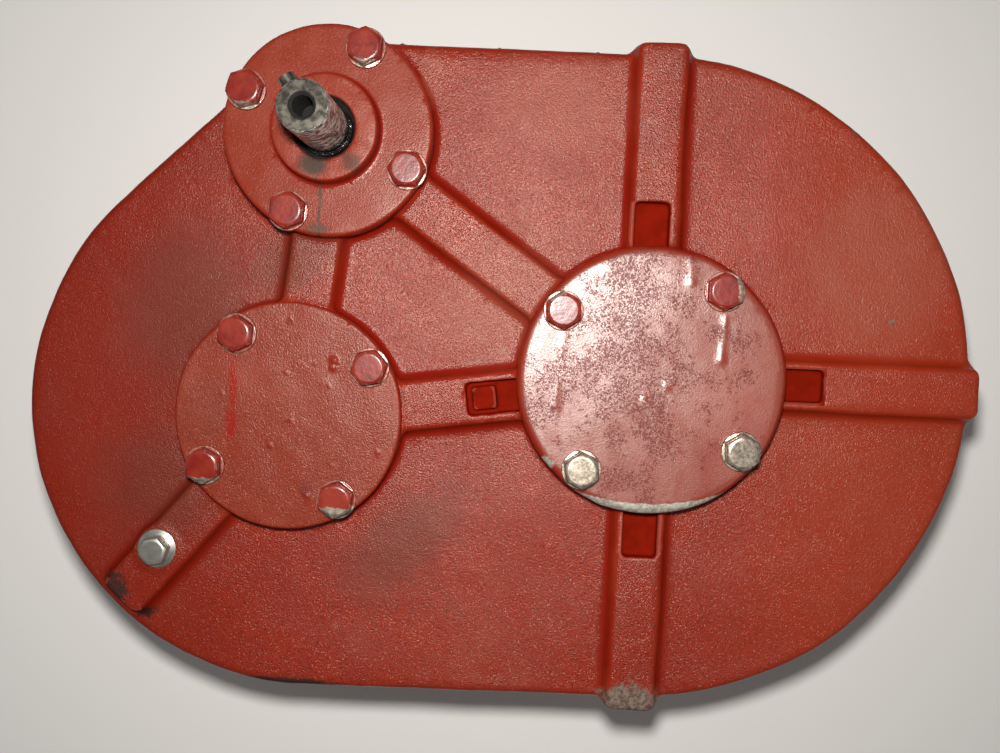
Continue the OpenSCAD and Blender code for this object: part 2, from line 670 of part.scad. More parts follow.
module output_shaft() {
  journal = bore_r(out_bearing);
  shoulder_z = rear_z(out_bearing) + ring_w(out_bearing) + 0.1;
  seat_from = gear2_z - 0.05;
  seat_to = gear2_z + gear2_w + 0.05;
  color(steel) difference() {
    turned([[10, 0.4], [journal - 1, 0.4], [journal, 1.4], [journal, shoulder_z],
      [38, shoulder_z], [38, 36], [41, 36], [41, seat_from], [out_seat_r, seat_from],
      [out_seat_r, seat_to], [journal, seat_to], [journal, face_z + 11.2],
      [31.5, face_z + 11.4], [31.2, face_z + 11.4], [31.2, face_z + 13.2],
      [10, face_z + 13.2]], 180);
    rod(out_bore_r, -5, face_z + 30);
    translate([0, -out_key_w / 2, -5]) cube([out_bore_r + 3.8, out_key_w, face_z + 40]);
    key_slot(out_key, 44);
  }
}
module output_gear() color(steel) difference() {
  translate([0, 0, gear2_z]) rotate([0, 0, dir2]) gear_prism(module2, teeth4, gear2_w);
  keyed_bore(out_seat_r, out_key, 20, 39.9, gear2_z, gear2_w);
  web_cuts(gear2_z, gear2_w, depth = 14, rim_r = 140, hub_r = 58,
    ring_r = 99, hole_r = 24, first = 30);
}
module output_gear_key() color(steel) key_body(out_key);
module output_spacer() color(steel)
  tube(39, bore_r(out_bearing) + fit, gear2_z + gear2_w + 0.1, front_z(out_bearing) - 0.05);
module output_circlip() color(steel) difference() {
  tube(36.5, 31.25, face_z + 11.45, face_z + 13.1);
  translate([28, -5, face_z + 11]) cube([12, 10, 4]);
}

// ---------- deep-groove ball bearings ----------
// middle of each of the two bearings on a shaft
module at_bearings(bearing)
  at_xy(bearing_axis(bearing)) for (z = bearing[7])
    translate([0, 0, z + ring_w(bearing) / 2]) children();
module ball_groove(bearing) rotate_extrude($fn = 180)
  translate([pitch_r(bearing), 0]) circle(r = ball_r(bearing) + 0.06, $fn = 64);
module grooved_ring(bearing, outer, inner) difference() {
  tube(outer, inner, -ring_w(bearing) / 2, ring_w(bearing) / 2);
  ball_groove(bearing);
}
module outer_rings(bearing) at_bearings(bearing)
  grooved_ring(bearing, outer_r(bearing), pitch_r(bearing) + 0.5 * ball_r(bearing));
module inner_rings(bearing) at_bearings(bearing)
  grooved_ring(bearing, pitch_r(bearing) - 0.5 * ball_r(bearing), bore_r(bearing) + 0.01);
module balls(bearing) at_bearings(bearing)
  for (a = ball_angles(bearing)) rotate([0, 0, a]) translate([pitch_r(bearing), 0, 0])
    sphere(r = ball_r(bearing), $fn = 48);
module cages(bearing) {
  middle = pitch_r(bearing);
  ball = ball_r(bearing);
  at_bearings(bearing) difference() {
    tube(middle + 0.36 * ball, middle - 0.36 * ball, -ball - 1.2, ball + 1.2);
    for (a = ball_angles(bearing))
      rotate([0, 0, a]) translate([middle - 0.6 * ball, 0, 0]) rotate([0, 90, 0])
        cylinder(r = ball + 0.12, h = 1.2 * ball, $fn = 48);
  }
}
module input_bearing_outer_rings() color(steel) outer_rings(in_bearing);
module input_bearing_inner_rings() color(steel) inner_rings(in_bearing);
module input_bearing_balls() color(zinc) balls(in_bearing);
module input_bearing_cages() color(bronze) cages(in_bearing);
module intermediate_bearing_outer_rings() color(steel) outer_rings(mid_bearing);
module intermediate_bearing_inner_rings() color(steel) inner_rings(mid_bearing);
module intermediate_bearing_balls() color(zinc) balls(mid_bearing);
module intermediate_bearing_cages() color(bronze) cages(mid_bearing);
module output_bearing_outer_rings() color(steel) outer_rings(out_bearing);
module output_bearing_inner_rings() color(steel) inner_rings(out_bearing);
module output_bearing_balls() color(zinc) balls(out_bearing);
module output_bearing_cages() color(bronze) cages(out_bearing);

front_housing();
rear_housing();
housing_gasket();
flange_bolts();
flange_washers();
flange_nuts();
locating_dowels();
input_cover();
input_cover_gasket();
input_cover_bolts();
input_cover_washers();
intermediate_cap();
intermediate_cap_gasket();
intermediate_cap_bolts();
intermediate_cap_washers();
output_cover();
output_cover_gasket();
output_cover_bolts();
output_cover_washers();
input_shaft_seal();
output_shaft_seal();
level_plug();
level_plug_washer();
drain_plug();
drain_plug_washer();
breather_plug();
breather_washer();
input_pinion_shaft();
input_shaft_key();
intermediate_pinion_shaft();
intermediate_gear();
intermediate_gear_key();
intermediate_spacer();
output_shaft();
output_gear();
output_gear_key();
output_spacer();
output_circlip();
input_bearing_outer_rings();
input_bearing_inner_rings();
input_bearing_balls();
input_bearing_cages();
intermediate_bearing_outer_rings();
intermediate_bearing_inner_rings();
intermediate_bearing_balls();
intermediate_bearing_cages();
output_bearing_outer_rings();
output_bearing_inner_rings();
output_bearing_balls();
output_bearing_cages();
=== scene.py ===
# A gearbox in a red-enamelled two-part case, lying on its rear face with the shafts along +Z.
# The output axis is at the origin, the intermediate and input axes lie towards -X, the input
# one on the +Y side. The rear casting starts at z = 0 and the front casting closes it from
# above. Shapes and textures are worked out in millimetres; make_object() turns them to metres.
import json
import math
from functools import cached_property, reduce
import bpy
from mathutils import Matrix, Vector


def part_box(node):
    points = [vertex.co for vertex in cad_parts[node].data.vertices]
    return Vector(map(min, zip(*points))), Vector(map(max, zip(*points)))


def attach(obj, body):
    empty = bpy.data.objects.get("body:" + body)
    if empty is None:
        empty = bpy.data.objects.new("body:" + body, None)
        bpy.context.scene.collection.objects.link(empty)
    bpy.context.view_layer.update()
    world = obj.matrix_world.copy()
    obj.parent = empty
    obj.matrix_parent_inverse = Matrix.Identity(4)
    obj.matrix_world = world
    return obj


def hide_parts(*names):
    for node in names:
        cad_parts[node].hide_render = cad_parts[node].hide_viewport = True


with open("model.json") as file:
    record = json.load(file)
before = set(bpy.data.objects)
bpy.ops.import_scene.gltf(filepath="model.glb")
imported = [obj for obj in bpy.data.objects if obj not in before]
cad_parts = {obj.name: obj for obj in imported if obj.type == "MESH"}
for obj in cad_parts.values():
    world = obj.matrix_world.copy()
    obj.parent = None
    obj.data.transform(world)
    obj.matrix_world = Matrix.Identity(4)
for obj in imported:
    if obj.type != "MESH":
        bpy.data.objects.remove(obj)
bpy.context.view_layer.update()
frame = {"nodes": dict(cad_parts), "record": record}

from types import SimpleNamespace

import bpy
import numpy as np
import openvdb as vdb
from mathutils import Matrix, Vector

F = np.float32
SLOTS = {part["node"]: part["material_slot"] for part in frame["record"]["subparts"]}

# Grid steps of the modelled pieces
CASE_STEP = 1.25
COVER_STEP = 0.8
BOLT_STEP = 0.42
FLANGE_BOLT_STEP = 0.62


# ---------------------------------------------------------------- places, from the CAD pieces
def mm_box(node):
    low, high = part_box(node)
    return np.array(low) * 1000, np.array(high) * 1000


def middle_of(node):
    low, high = mm_box(node)
    return ((low + high) / 2)[:2]


def bottom_of(node):
    return float(mm_box(node)[0][2])


def top_of(node):
    return float(mm_box(node)[1][2])


def compass(degrees):
    angle = math.radians(degrees)
    return math.cos(angle), math.sin(angle)


def polar(centre, radius, degrees):
    return np.array(centre) + radius * np.array(compass(degrees))


def four_round(centre, radius, degrees):
    return [polar(centre, radius, degrees + 90 * k) for k in range(4)]


def read_cover(node, axis, bore, bolt_radius, bolt_angle):
    """Levels and sizes of a bearing cover; its bolts are four to a circle."""
    low, high = mm_box(node)
    return SimpleNamespace(
        axis=axis, bore=bore,
        seat=bottom_of(node + "_gasket"), under=top_of(node + "_gasket"),
        top=float(high[2]), radius=float((high[0] - low[0]) / 2),
        washer_top=top_of(node + "_washers"),
        bolts=four_round(axis, bolt_radius, bolt_angle))


OUTPUT = read_cover("output_cover", np.zeros(2), 50.35, 59.4, 54.2)
MIDDLE = read_cover("intermediate_cap", middle_of("intermediate_cap"), 40.35, 51.4, 33.0)
INPUT = read_cover("input_cover", middle_of("input_cover"), 36.35, 46.4, 66.2)
INPUT_PLATE_TOP = bottom_of("input_cover_washers")      # INPUT.top is the top of its seal collar
PLUG = middle_of("level_plug")
SPLIT = (bottom_of("housing_gasket") + top_of("housing_gasket")) / 2
FACE = 140.0                # front face of the case
RIB_TOP = 148.0
FLANGE_THICK = 12           # on each side of the split
FLANGE_OUT = 15.8           # reach of the flange beyond the case outline
BOLT_OUT = 8                # flange bolts beyond the outline
WALL = 8
SPIGOT_GAP = 0.4            # between a cover's spigot and its bore
RIB_HALF = 15.4             # half width of a rib
LEFT_RIB_ANGLE = 188.3

# The case outline is the hull of three circles: x, y, radius
LOBES = [(-0.5, -2.0, 176.0), (-177.8, 125.5, 49.0), (-185.0, -27.0, 153.5)]


def edge_normal(i):
    """Outward normal of the straight wall from lobe i to the next."""
    start, end = LOBES[i], LOBES[(i + 1) % 3]
    run_x, run_y = end[0] - start[0], end[1] - start[1]
    lean = math.acos((start[2] - end[2]) / math.hypot(run_x, run_y))
    angle = math.atan2(run_y, run_x) - lean
    return np.array([math.cos(angle), math.sin(angle)])


def edge_point(i, fraction, outward):
    normal = edge_normal(i)
    start, end = [np.array(lobe[:2]) + (lobe[2] + outward) * normal
                  for lobe in (LOBES[i], LOBES[(i + 1) % 3])]
    return start + fraction * (end - start)


def lobe_point(i, degrees):
    return polar(LOBES[i][:2], LOBES[i][2] + BOLT_OUT, degrees)


def wall_at(degrees):
    """Distance from the output axis to the wall of the first lobe."""
    x, y, radius = LOBES[0]
    return radius + x * compass(degrees)[0] + y * compass(degrees)[1]


# Bolts along the flange: (lobe, angles on it, fractions along the wall that follows)
FLANGE_POINTS = []
for lobe, angles, fractions in (
        (0, (-77, -56, -35, -14, 14, 35, 56, 77), (0.18, 0.50, 0.83)),
        (1, (118,), (0.36, 0.94)),
        (2, (157, 181, 205, 229, 253), (0.05, 0.42, 0.80))):
    FLANGE_POINTS += [lobe_point(lobe, angle) for angle in angles]
    FLANGE_POINTS += [edge_point(lobe, fraction, BOLT_OUT) for fraction in fractions]
DOWELS = [lobe_point(0, 24.5), lobe_point(2, 217)]

# Ribs that fold over the rim and down the wall: angle, sideways offset, end radius
WALL_RIBS = ((0, 0, wall_at(0) + 1.7), (90, 1, wall_at(90) + 4.5), (-90, -0.5, wall_at(-90) + 4.5))
# Ribs on the front face only: axis, angle, start and end radius, sideways offset
FACE_RIBS = ((OUTPUT.axis, LEFT_RIB_ANGLE, 40, 145, 1.5), (OUTPUT.axis, 145, 40, 175, 0),
             (MIDDLE.axis, 83.6, 30, 115, 0), (MIDDLE.axis, 229.7, 30, 140, -1.3))
# Pockets round the output cover, in a frame turned by the angle:
# centre x, y, half length x, y, angle in degrees, height of the floor above the face
POCKETS = ((-2.75, 80.15, 9.25, 14.2, 0, 0.9), (79.5, 0.2, 14, 8.8, 0, 0.9),
           (-0.3, -81.8, 9.3, 15, 0, 0.9), (74, 1.2, 8.2, 8.8, LEFT_RIB_ANGLE, 0.9),
           (89, 1.2, 9.4, 8.8, LEFT_RIB_ANGLE, 2.4))


def find_side_bosses():
    """Point on the outline and outward direction of the two bosses on the rear wall."""
    x, y, radius = LOBES[0]
    drain = middle_of("drain_plug") - np.array((x, y))
    angle = math.atan2(drain[1], drain[0])
    cos, sin = math.cos(angle), math.sin(angle)
    return (((x + radius * cos, y + radius * sin), (cos, sin)),
            (edge_point(0, 0.62, 0).tolist(), edge_normal(0).tolist()))


SIDE_BOSSES = find_side_bosses()


# ---------------------------------------------------------------- signed distance modelling
class Grid:
    """Box of sample points; a field on it is negative inside the solid."""

    def __init__(self, low, high, step):
        self.low = np.array(low, float)
        self.step = float(step)
        self.count = np.ceil((np.array(high, float) - self.low) / step).astype(int) + 1
        x, y, z = [(self.low[i] + step * np.arange(self.count[i])).astype(F) for i in range(3)]
        self.x = x[:, None, None]
        self.y = y[None, :, None]
        self.z = z[None, None, :]

    def radius(self, centre):
        return np.sqrt((self.x - F(centre[0])) ** 2 + (self.y - F(centre[1])) ** 2)

    def band(self, bottom, top):
        return np.maximum(bottom - self.z, self.z - top)


def meet(a, b, radius=0.0):
    """What both solids share, the outer edge rounded."""
    if radius <= 0:
        return np.maximum(a, b)
    over_a, over_b = np.maximum(a + radius, 0), np.maximum(b + radius, 0)
    return np.minimum(np.maximum(a, b), -radius) + np.sqrt(over_a * over_a + over_b * over_b)


def join(a, b, radius=0.0):
    """Both solids together, the inner corner filled."""
    if radius <= 0:
        return np.minimum(a, b)
    near_a, near_b = np.maximum(radius - a, 0), np.maximum(radius - b, 0)
    return np.maximum(np.minimum(a, b), radius) - np.sqrt(near_a * near_a + near_b * near_b)


def cut(a, b, radius=0.0):
    return meet(a, -b, radius)


def outline(grid):
    """Case outline as the meeting of 540 tangent half planes."""
    def half_plane(k):
        angle = 2 * math.pi * k / 540
        cos, sin = math.cos(angle), math.sin(angle)
        reach = max(x * cos + y * sin + radius for x, y, radius in LOBES)
        return cos * grid.x + sin * grid.y - reach

    return reduce(np.maximum, (half_plane(k) for k in range(540)))


def ripple(grid, count, shortest, longest, seed, height):
    """Random unevenness over x and y, from plane waves."""
    draw = np.random.default_rng(seed)
    length = np.exp(draw.uniform(math.log(shortest), math.log(longest), count))
    heading = draw.normal(size=(count, 3))
    heading[:, 2] *= 0.25       # mostly level, so few waves come out very long in x and y
    heading /= np.linalg.norm(heading, axis=1)[:, None]
    wave = heading * (2 * math.pi / length)[:, None]
    phase = draw.uniform(0, 2 * math.pi, count)
    weight = length / length.max()
    total = np.zeros((grid.count[0], grid.count[1], 1), F)
    for i in range(count):
        total += F(weight[i]) * np.sin(
            F(wave[i, 0]) * grid.x + F(wave[i, 1]) * grid.y + F(phase[i]))
    return total * (height / math.sqrt(np.sum(weight ** 2) / 2))


def cast_skin(grid, seed, height):
    """Long swells and short unevenness of a sand casting."""
    return (ripple(grid, 14, 55, 180, seed, height)
            + ripple(grid, 26, 9, 30, seed + 1, 0.07))


def holes(grid, points, radius):
    return reduce(np.minimum, (grid.radius(point) - radius for point in points))


def sample(field, grid, points):
    """Trilinear value of the field at the points."""
    scaled = (points - grid.low) / grid.step
    cell = np.clip(np.floor(scaled).astype(int), 0, grid.count - 2)
    part = np.clip(scaled - cell, 0, 1)
    total = 0
    for i in (0, 1):
        wx = part[:, 0] if i else 1 - part[:, 0]
        for j in (0, 1):
            wy = part[:, 1] if j else 1 - part[:, 1]
            for k in (0, 1):
                wz = part[:, 2] if k else 1 - part[:, 2]
                corner = field[cell[:, 0] + i, cell[:, 1] + j, cell[:, 2] + k]
                total = total + wx * wy * wz * corner
    return total


def gradient(field, grid, points, reach):
    slope = np.empty_like(points)
    for axis in range(3):
        shift = np.zeros(3)
        shift[axis] = reach
        slope[:, axis] = (sample(field, grid, points + shift)
                          - sample(field, grid, points - shift))
    length = np.linalg.norm(slope, axis=1)
    length[length < 1e-9] = 1
    return slope / length[:, None]


def polygonise(field, grid, adapt, reach):
    """Points, faces, normals and edge sharpness (felt over reach) of the zero surface."""
    step = grid.step
    volume = vdb.FloatGrid(3 * step)
    volume.copyFromArray(np.ascontiguousarray(np.clip(field, -3 * step, 3 * step).astype(F)))
    points, triangles, quads = volume.convertToPolygons(0.0, adapt)
    points = points.astype(float) * step + grid.low
    for _ in range(2):                  # pull the points onto the surface
        slope = gradient(field, grid, points, 0.6 * step)
        depth = np.clip(sample(field, grid, points), -0.4 * step, 0.4 * step)
        points = points - depth[:, None] * slope
    normals = gradient(field, grid, points, 0.8 * step)
    bend = -6 * sample(field, grid, points)
    for axis in range(3):
        for sign in (-1, 1):
            shift = np.zeros(3)
            shift[axis] = sign * reach
            bend = bend + sample(field, grid, points + shift)
    faces = [tuple(int(i) for i in face[::-1]) for group in (quads, triangles) for face in group]
    # wind the faces outwards, as the normals point
    first = np.array([face[:3] for face in faces])
    a, b, c = [points[first[:, i]] for i in range(3)]
    if float(np.sum(np.cross(b - a, c - a) * normals[first[:, 0]])) < 0:
        faces = [face[::-1] for face in faces]
    return points, faces, normals, bend / reach


def make_object(name, parts, material, node):
    """One object in place of a CAD node, from (points in mm, faces, normals, edge) parts."""
    faces = []
    start = 0
    for points, part_faces, _, _ in parts:
        faces += [tuple(i + start for i in face) for face in part_faces]
        start += len(points)
    mesh = bpy.data.meshes.new(name)
    mesh.from_pydata((np.vstack([part[0] for part in parts]) / 1000).tolist(), [], faces)
    mesh.validate()
    mesh.update()
    mesh.polygons.foreach_set("use_smooth", [True] * len(mesh.polygons))
    edge = mesh.attributes.new("edge", "FLOAT", "POINT")
    edge.data.foreach_set("value", np.concatenate([part[3] for part in parts]).astype(F))
    if all(part[2] is not None for part in parts):
        normals = np.vstack([part[2] for part in parts])
        mesh.normals_split_custom_set_from_vertices(normals.tolist())
    mesh.materials.append(material)
    thing = bpy.data.objects.new(name, mesh)
    bpy.context.scene.collection.objects.link(thing)
    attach(thing, "case")
    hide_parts(node)


# ---------------------------------------------------------------- the two case castings
def face_rib(grid, axis, angle, start, end, offset, wraps=False):
    """A radial rib; one that wraps also runs down the wall."""
    cos, sin = compass(angle)
    dx, dy, z = grid.x - F(axis[0]), grid.y - F(axis[1]), grid.z
    along = dx * cos + dy * sin
    across = np.abs(-dx * sin + dy * cos - offset)
    half = np.where(z > FACE, RIB_HALF - (z - FACE) * (2.6 / 8.0), RIB_HALF + (FACE - z) * 0.022)
    side = (across - half) * 0.95
    if wraps:
        tip = along - (end + np.maximum(RIB_TOP - z, 0) * F(0.02))
        rib = meet(meet(side, tip, 4.6), z - RIB_TOP, 3.2)
    else:
        rib = meet(meet(side, along - end, 5.0), z - RIB_TOP, 2.0)
        rib = meet(rib, (FACE - 6) - z)
    return np.maximum(rib, start - along)


def turned_box(grid, x, y, half_x, half_y, angle, radius):
    cos, sin = compass(angle)
    along = np.abs(grid.x * cos + grid.y * sin - x) - half_x
    across = np.abs(-grid.x * sin + grid.y * cos - y) - half_y
    return meet(along, across, radius)


def flange_holes(grid):
    return np.minimum(holes(grid, FLANGE_POINTS, 4.5), holes(grid, DOWELS, 4.1))


def front_case(grid):
    hull = outline(grid)
    z = grid.z
    # walls with draft, and the flange at the split
    wall = hull + 0.3 - np.minimum(np.maximum(FACE - z, 0), 78) * 0.024
    body = meet(wall, z - FACE, 4.6)
    flange = meet(hull - FLANGE_OUT, z - (SPLIT + FLANGE_THICK), 1.8)
    body = join(body, flange, 5.0)
    # bosses that the covers sit on; the input one is coned below z = 134
    for cover, radius, fillet in ((OUTPUT, 70, 4.2), (MIDDLE, 60.6, 4.0)):
        boss = meet(grid.radius(cover.axis) - radius, z - cover.seat, 1.0)
        body = join(body, boss, fillet)
    radius = np.where(z > 134, 54.2, 54.2 - (134 - z) * 0.62).astype(F)
    boss = meet(grid.radius(INPUT.axis) - radius, z - INPUT.seat, 1.0)
    body = join(body, meet(boss, 116 - z, 3.0), 5.0)
    # ribs, with the pad of the level plug
    ribs = [face_rib(grid, OUTPUT.axis, angle, 40, end, offset, wraps=True)
            for angle, offset, end in WALL_RIBS]
    ribs = reduce(np.minimum, ribs + [face_rib(grid, *row) for row in FACE_RIBS])
    pad = meet(grid.radius(PLUG) - 12.2, z - RIB_TOP, 1.2)
    ribs = join(ribs, np.maximum(pad, (FACE - 6) - z), 3.0)
    body = join(body, ribs, 4.0)
    body = body + cast_skin(grid, seed=3, height=0.28)
    # pockets beside the output cover, and the square block that stands in the left one
    for *place, floor in POCKETS:
        pocket = meet(turned_box(grid, *place, 2.6), (FACE + floor) - z, 1.6)
        body = cut(body, pocket, 1.1)
    block = turned_box(grid, 88.9, 1.2, 6.4, 6.3, LEFT_RIB_ANGLE, 1.6)
    block = meet(meet(block, z - (RIB_TOP - 0.8), 1.3), (FACE - 2) - z)
    body = join(body, block, 1.2)
    # cavity, bearing housings inside it and their bores
    body = cut(body, meet(hull + WALL, z - (FACE - 10), 6.0), 0.8)
    for cover, radius, depth in ((OUTPUT, 62, 16), (MIDDLE, 50, 15), (INPUT, 42, 14)):
        housing = meet(grid.radius(cover.axis) - radius, z - (FACE - 3))
        body = join(body, meet(housing, (FACE - depth) - z, 1.5), 3.0)
    for cover in (OUTPUT, MIDDLE, INPUT):
        bore = np.maximum(grid.radius(cover.axis) - cover.bore, (FACE - 30) - z)
        body = cut(body, bore, 0.8)
    # bolt holes: points, radius, bottom
    for points, radius, bottom in (
            (OUTPUT.bolts, 5.05, OUTPUT.seat - 20), (MIDDLE.bolts, 5.05, MIDDLE.seat - 16.5),
            (INPUT.bolts, 5.05, INPUT.seat - 19), ([PLUG], 4.05, FACE - 20)):
        body = cut(body, np.maximum(holes(grid, points, radius), bottom - z))
    # flange holes, with spot faces for the washers
    drilled = flange_holes(grid)
    limit = z - (SPLIT + 20)
    body = cut(body, np.maximum(drilled, limit))
    spot = np.maximum(drilled - 4.6, (SPLIT + FLANGE_THICK) - z)
    body = cut(body, np.maximum(spot, limit), 0.6)
    body = np.maximum(body, hull - (FLANGE_OUT + 0.05))
    return np.maximum(body, (SPLIT + 0.25) - z)


def rear_case(grid):
    hull = outline(grid)
    z = grid.z
    # walls with draft, and the flange at the split
    wall = hull + 0.3 - np.minimum(z, 50) * 0.018 + 0.9
    body = meet(wall, -z, 4.0)
    flange = meet(hull - FLANGE_OUT, (SPLIT - FLANGE_THICK) - z, 1.8)
    body = join(body, flange, 5.0)
    for angle, offset, end in WALL_RIBS:
        cos, sin = compass(angle)
        along = grid.x * cos + grid.y * sin
        across = np.abs(-grid.x * sin + grid.y * cos - offset)
        rib = meet(meet(across - RIB_HALF, along - (end - 0.4), 6.0), 5 - z, 3.0)
        body = join(body, np.maximum(rib, 140 - along), 4.0)
    # round bosses on the wall: distance outwards and distance from the axis of each
    side_bosses = []
    for (x, y), (nx, ny) in SIDE_BOSSES:
        along = (grid.x - x) * nx + (grid.y - y) * ny
        across = -(grid.x - x) * ny + (grid.y - y) * nx
        side_bosses.append((along, np.sqrt(across ** 2 + (z - 26) ** 2)))
    for along, around in side_bosses:
        body = join(body, meet(meet(around - 15.2, along - 4, 1.0), -22 - along), 3.0)
    body = body + cast_skin(grid, seed=8, height=0.25)
    # cavity and the bearing housings inside it
    body = cut(body, meet(hull + WALL, 10 - z, 6.0), 0.8)
    for cover, radius, top in ((OUTPUT, 72, 31), (MIDDLE, 50, 33), (INPUT, 42.5, 31)):
        housing = meet(np.maximum(grid.radius(cover.axis) - radius, 5 - z), z - top, 1.5)
        body = join(body, housing, 3.0)
    for along, around in side_bosses:
        body = cut(body, np.maximum(around - 8.1, -30 - along))
    # opening round the output shaft, then bearing bores and the reliefs under two of them
    body = cut(body, np.maximum(grid.radius(OUTPUT.axis) - 45.3, z - 20), 0.8)
    for cover, radius, floor in (
            (OUTPUT, OUTPUT.bore, 10.9), (MIDDLE, MIDDLE.bore, 12), (INPUT, INPUT.bore, 12),
            (MIDDLE, 34, 10), (INPUT, 30, 10)):
        body = cut(body, np.maximum(grid.radius(cover.axis) - radius, floor - z))
    # four wide holes round the output opening, and the flange holes
    wide = holes(grid, four_round(OUTPUT.axis, 61, 45), 6)
    body = cut(body, np.maximum(wide, z - 22), 0.5)
    body = cut(body, np.maximum(flange_holes(grid), (SPLIT - 20) - z))
    body = np.maximum(body, z - (SPLIT - 0.25))
    body = np.maximum(body, hull - (FLANGE_OUT + 0.05))
    return np.maximum(body, -z)


def build_castings():
    for name, shape, bottom, top, step, material, node in (
            ("front_case_casting", front_case, SPLIT - 4, 156, CASE_STEP,
             CASE_RED, "front_housing"),
            ("rear_case_casting", rear_case, -4, SPLIT + 3, CASE_STEP * 1.25,
             REAR_RED, "rear_housing")):
        grid = Grid((-358, -200, bottom), (196, 196, top), step)
        surface = polygonise(shape(grid), grid, adapt=0.02, reach=2.5)
        make_object(name, [surface], material, node)


# ---------------------------------------------------------------- node materials
class Shader:
    """Strings shader nodes together. Positions and sizes are in millimetres."""

    def __init__(self, name):
        self.material = bpy.data.materials.new(name)
        self.material.use_nodes = True
        self.tree = self.material.node_tree
        self.tree.nodes.clear()
        self.bsdf = self.node("BsdfPrincipled", {})
        self.output = self.node("OutputMaterial", {0: self.bsdf.outputs[0]})
        metres = self.node("TexCoord", {}).outputs["Object"]
        self.place = self.node(
            "VectorMath", {0: metres, "Scale": 1000}, operation="SCALE").outputs[0]

    def set(self, socket, value):
        if isinstance(value, bpy.types.NodeSocket):
            self.tree.links.new(value, socket)
        elif value is not None:
            socket.default_value = (*value, 1.0) if socket.type == "RGBA" else value

    def node(self, kind, inputs, **settings):
        node = self.tree.nodes.new("ShaderNode" + kind)
        for key, value in settings.items():
            setattr(node, key, value)
        for key, value in inputs.items():
            self.set(node.inputs[key], value)
        return node

    @cached_property
    def xyz(self):
        return self.node("SeparateXYZ", {0: self.place}).outputs

    @cached_property
    def normal(self):
        geometry = self.node("NewGeometry", {})
        return self.node("SeparateXYZ", {0: geometry.outputs["Normal"]}).outputs

    def math(self, operation, *values):
        return self.node("Math", dict(enumerate(values)), operation=operation).outputs[0]

    def chain(self, operation, values):
        return reduce(lambda a, b: self.math(operation, a, b), values)

    def add(self, *values):
        return self.chain("ADD", values)

    def mul(self, *values):
        return self.chain("MULTIPLY", values)

    def most(self, *values):
        return self.chain("MAXIMUM", values)

    def swing(self, noise, width):
        """Noise centred on zero and scaled."""
        return self.mul(self.math("SUBTRACT", noise, 0.5), width)

    def ramp(self, value, start, end, low=0.0, high=1.0):
        """Smooth step from low at start to high at end."""
        inputs = dict(enumerate((value, start, end, low, high)))
        return self.node("MapRange", inputs, interpolation_type="SMOOTHSTEP").outputs[0]

    def noise(self, size, detail, rough, seed, warp=0.0, place=None):
        inputs = {"Vector": place or self.place, "W": seed, "Scale": 1.0 / size,
                  "Detail": detail, "Roughness": rough, "Distortion": warp}
        return self.node("TexNoise", inputs, noise_dimensions="4D").outputs["Fac"]

    def scaled(self, vector, factors):
        return self.node("VectorMath", {0: vector, 1: factors}, operation="MULTIPLY").outputs[0]

    def mix(self, factor, a, b):
        """Colour a, turning to b."""
        return self.node("Mix", {0: factor, 6: a, 7: b}, data_type="RGBA").outputs[2]

    def lerp(self, factor, a, b):
        """Number a, turning to b."""
        return self.node("Mix", {0: factor, 2: a, 3: b}, data_type="FLOAT").outputs[0]

    def distance(self, point, stretch=(1, 1, 1), turn=0.0):
        """Distance from a point, measured in a frame turned about Z and stretched."""
        offset = self.node("VectorMath", {0: self.place, 1: point}, operation="SUBTRACT").outputs[0]
        if turn:
            inputs = {"Vector": offset, "Angle": -math.radians(turn)}
            offset = self.node("VectorRotate", inputs, rotation_type="Z_AXIS").outputs[0]
        offset = self.scaled(offset, stretch)
        return self.node("VectorMath", {0: offset}, operation="LENGTH").outputs["Value"]

    def radius(self, axis):
        """Distance from a vertical axis."""
        return self.distance((axis[0], axis[1], 0), (1, 1, 0))

    def patch(self, point, radius, soft, ragged, size, stretch, turn, seed):
        """1 inside a ragged patch; size is that of the noise that frays it."""
        distance = self.distance(point, stretch, turn)
        noise = self.noise(size, 4, 0.65, seed=seed)
        distance = self.add(distance, self.swing(noise, 4 * ragged * radius))
        return self.ramp(distance, radius * (1 - soft), radius * (1 + soft), 1.0, 0.0)

    def patches(self, rows):
        return self.most(*[self.patch(*row) for row in rows])

    def bump(self, height, depth, strength, under=None):
        """Relief of a depth in mm, on top of an earlier bump."""
        inputs = {"Height": height, "Distance": depth / 1000, "Strength": strength,
                  "Normal": under}
        return self.node("Bump", inputs).outputs[0]

    def finish(self, **values):
        for key, value in values.items():
            self.set(self.bsdf.inputs[key.replace("_", " ")], value)
        return self.material


# Colours of the enamel, among them painted glints and painted light and shade
RED_DEEP = (0.205, 0.0095, 0.0030)
RED_MAIN = (0.250, 0.0190, 0.0060)
RED_DUST = (0.250, 0.032, 0.0135)
GREY_DUST = (0.165, 0.034, 0.018)
PAINTED_LIGHT_GRAIN_TIP = (0.38, 0.050, 0.021)
PAINTED_SHADE_GRAIN_PIT = (0.085, 0.0040, 0.0016)
PAINTED_GLINT = (0.58, 0.22, 0.16)
PAINTED_CORNER_SHADE = (0.190, 0.0060, 0.0022)
PAINTED_SHADE_LEFT_RED = (0.165, 0.0085, 0.0026)
PAINTED_LIGHT_RIGHT_RED = (0.330, 0.033, 0.0085)
SPECK = (0.115, 0.020, 0.018)
WORN_RED = (0.50, 0.12, 0.085)
POCKET_REDS = (0.160, 0.0070, 0.0022), (0.200, 0.0085, 0.0028)


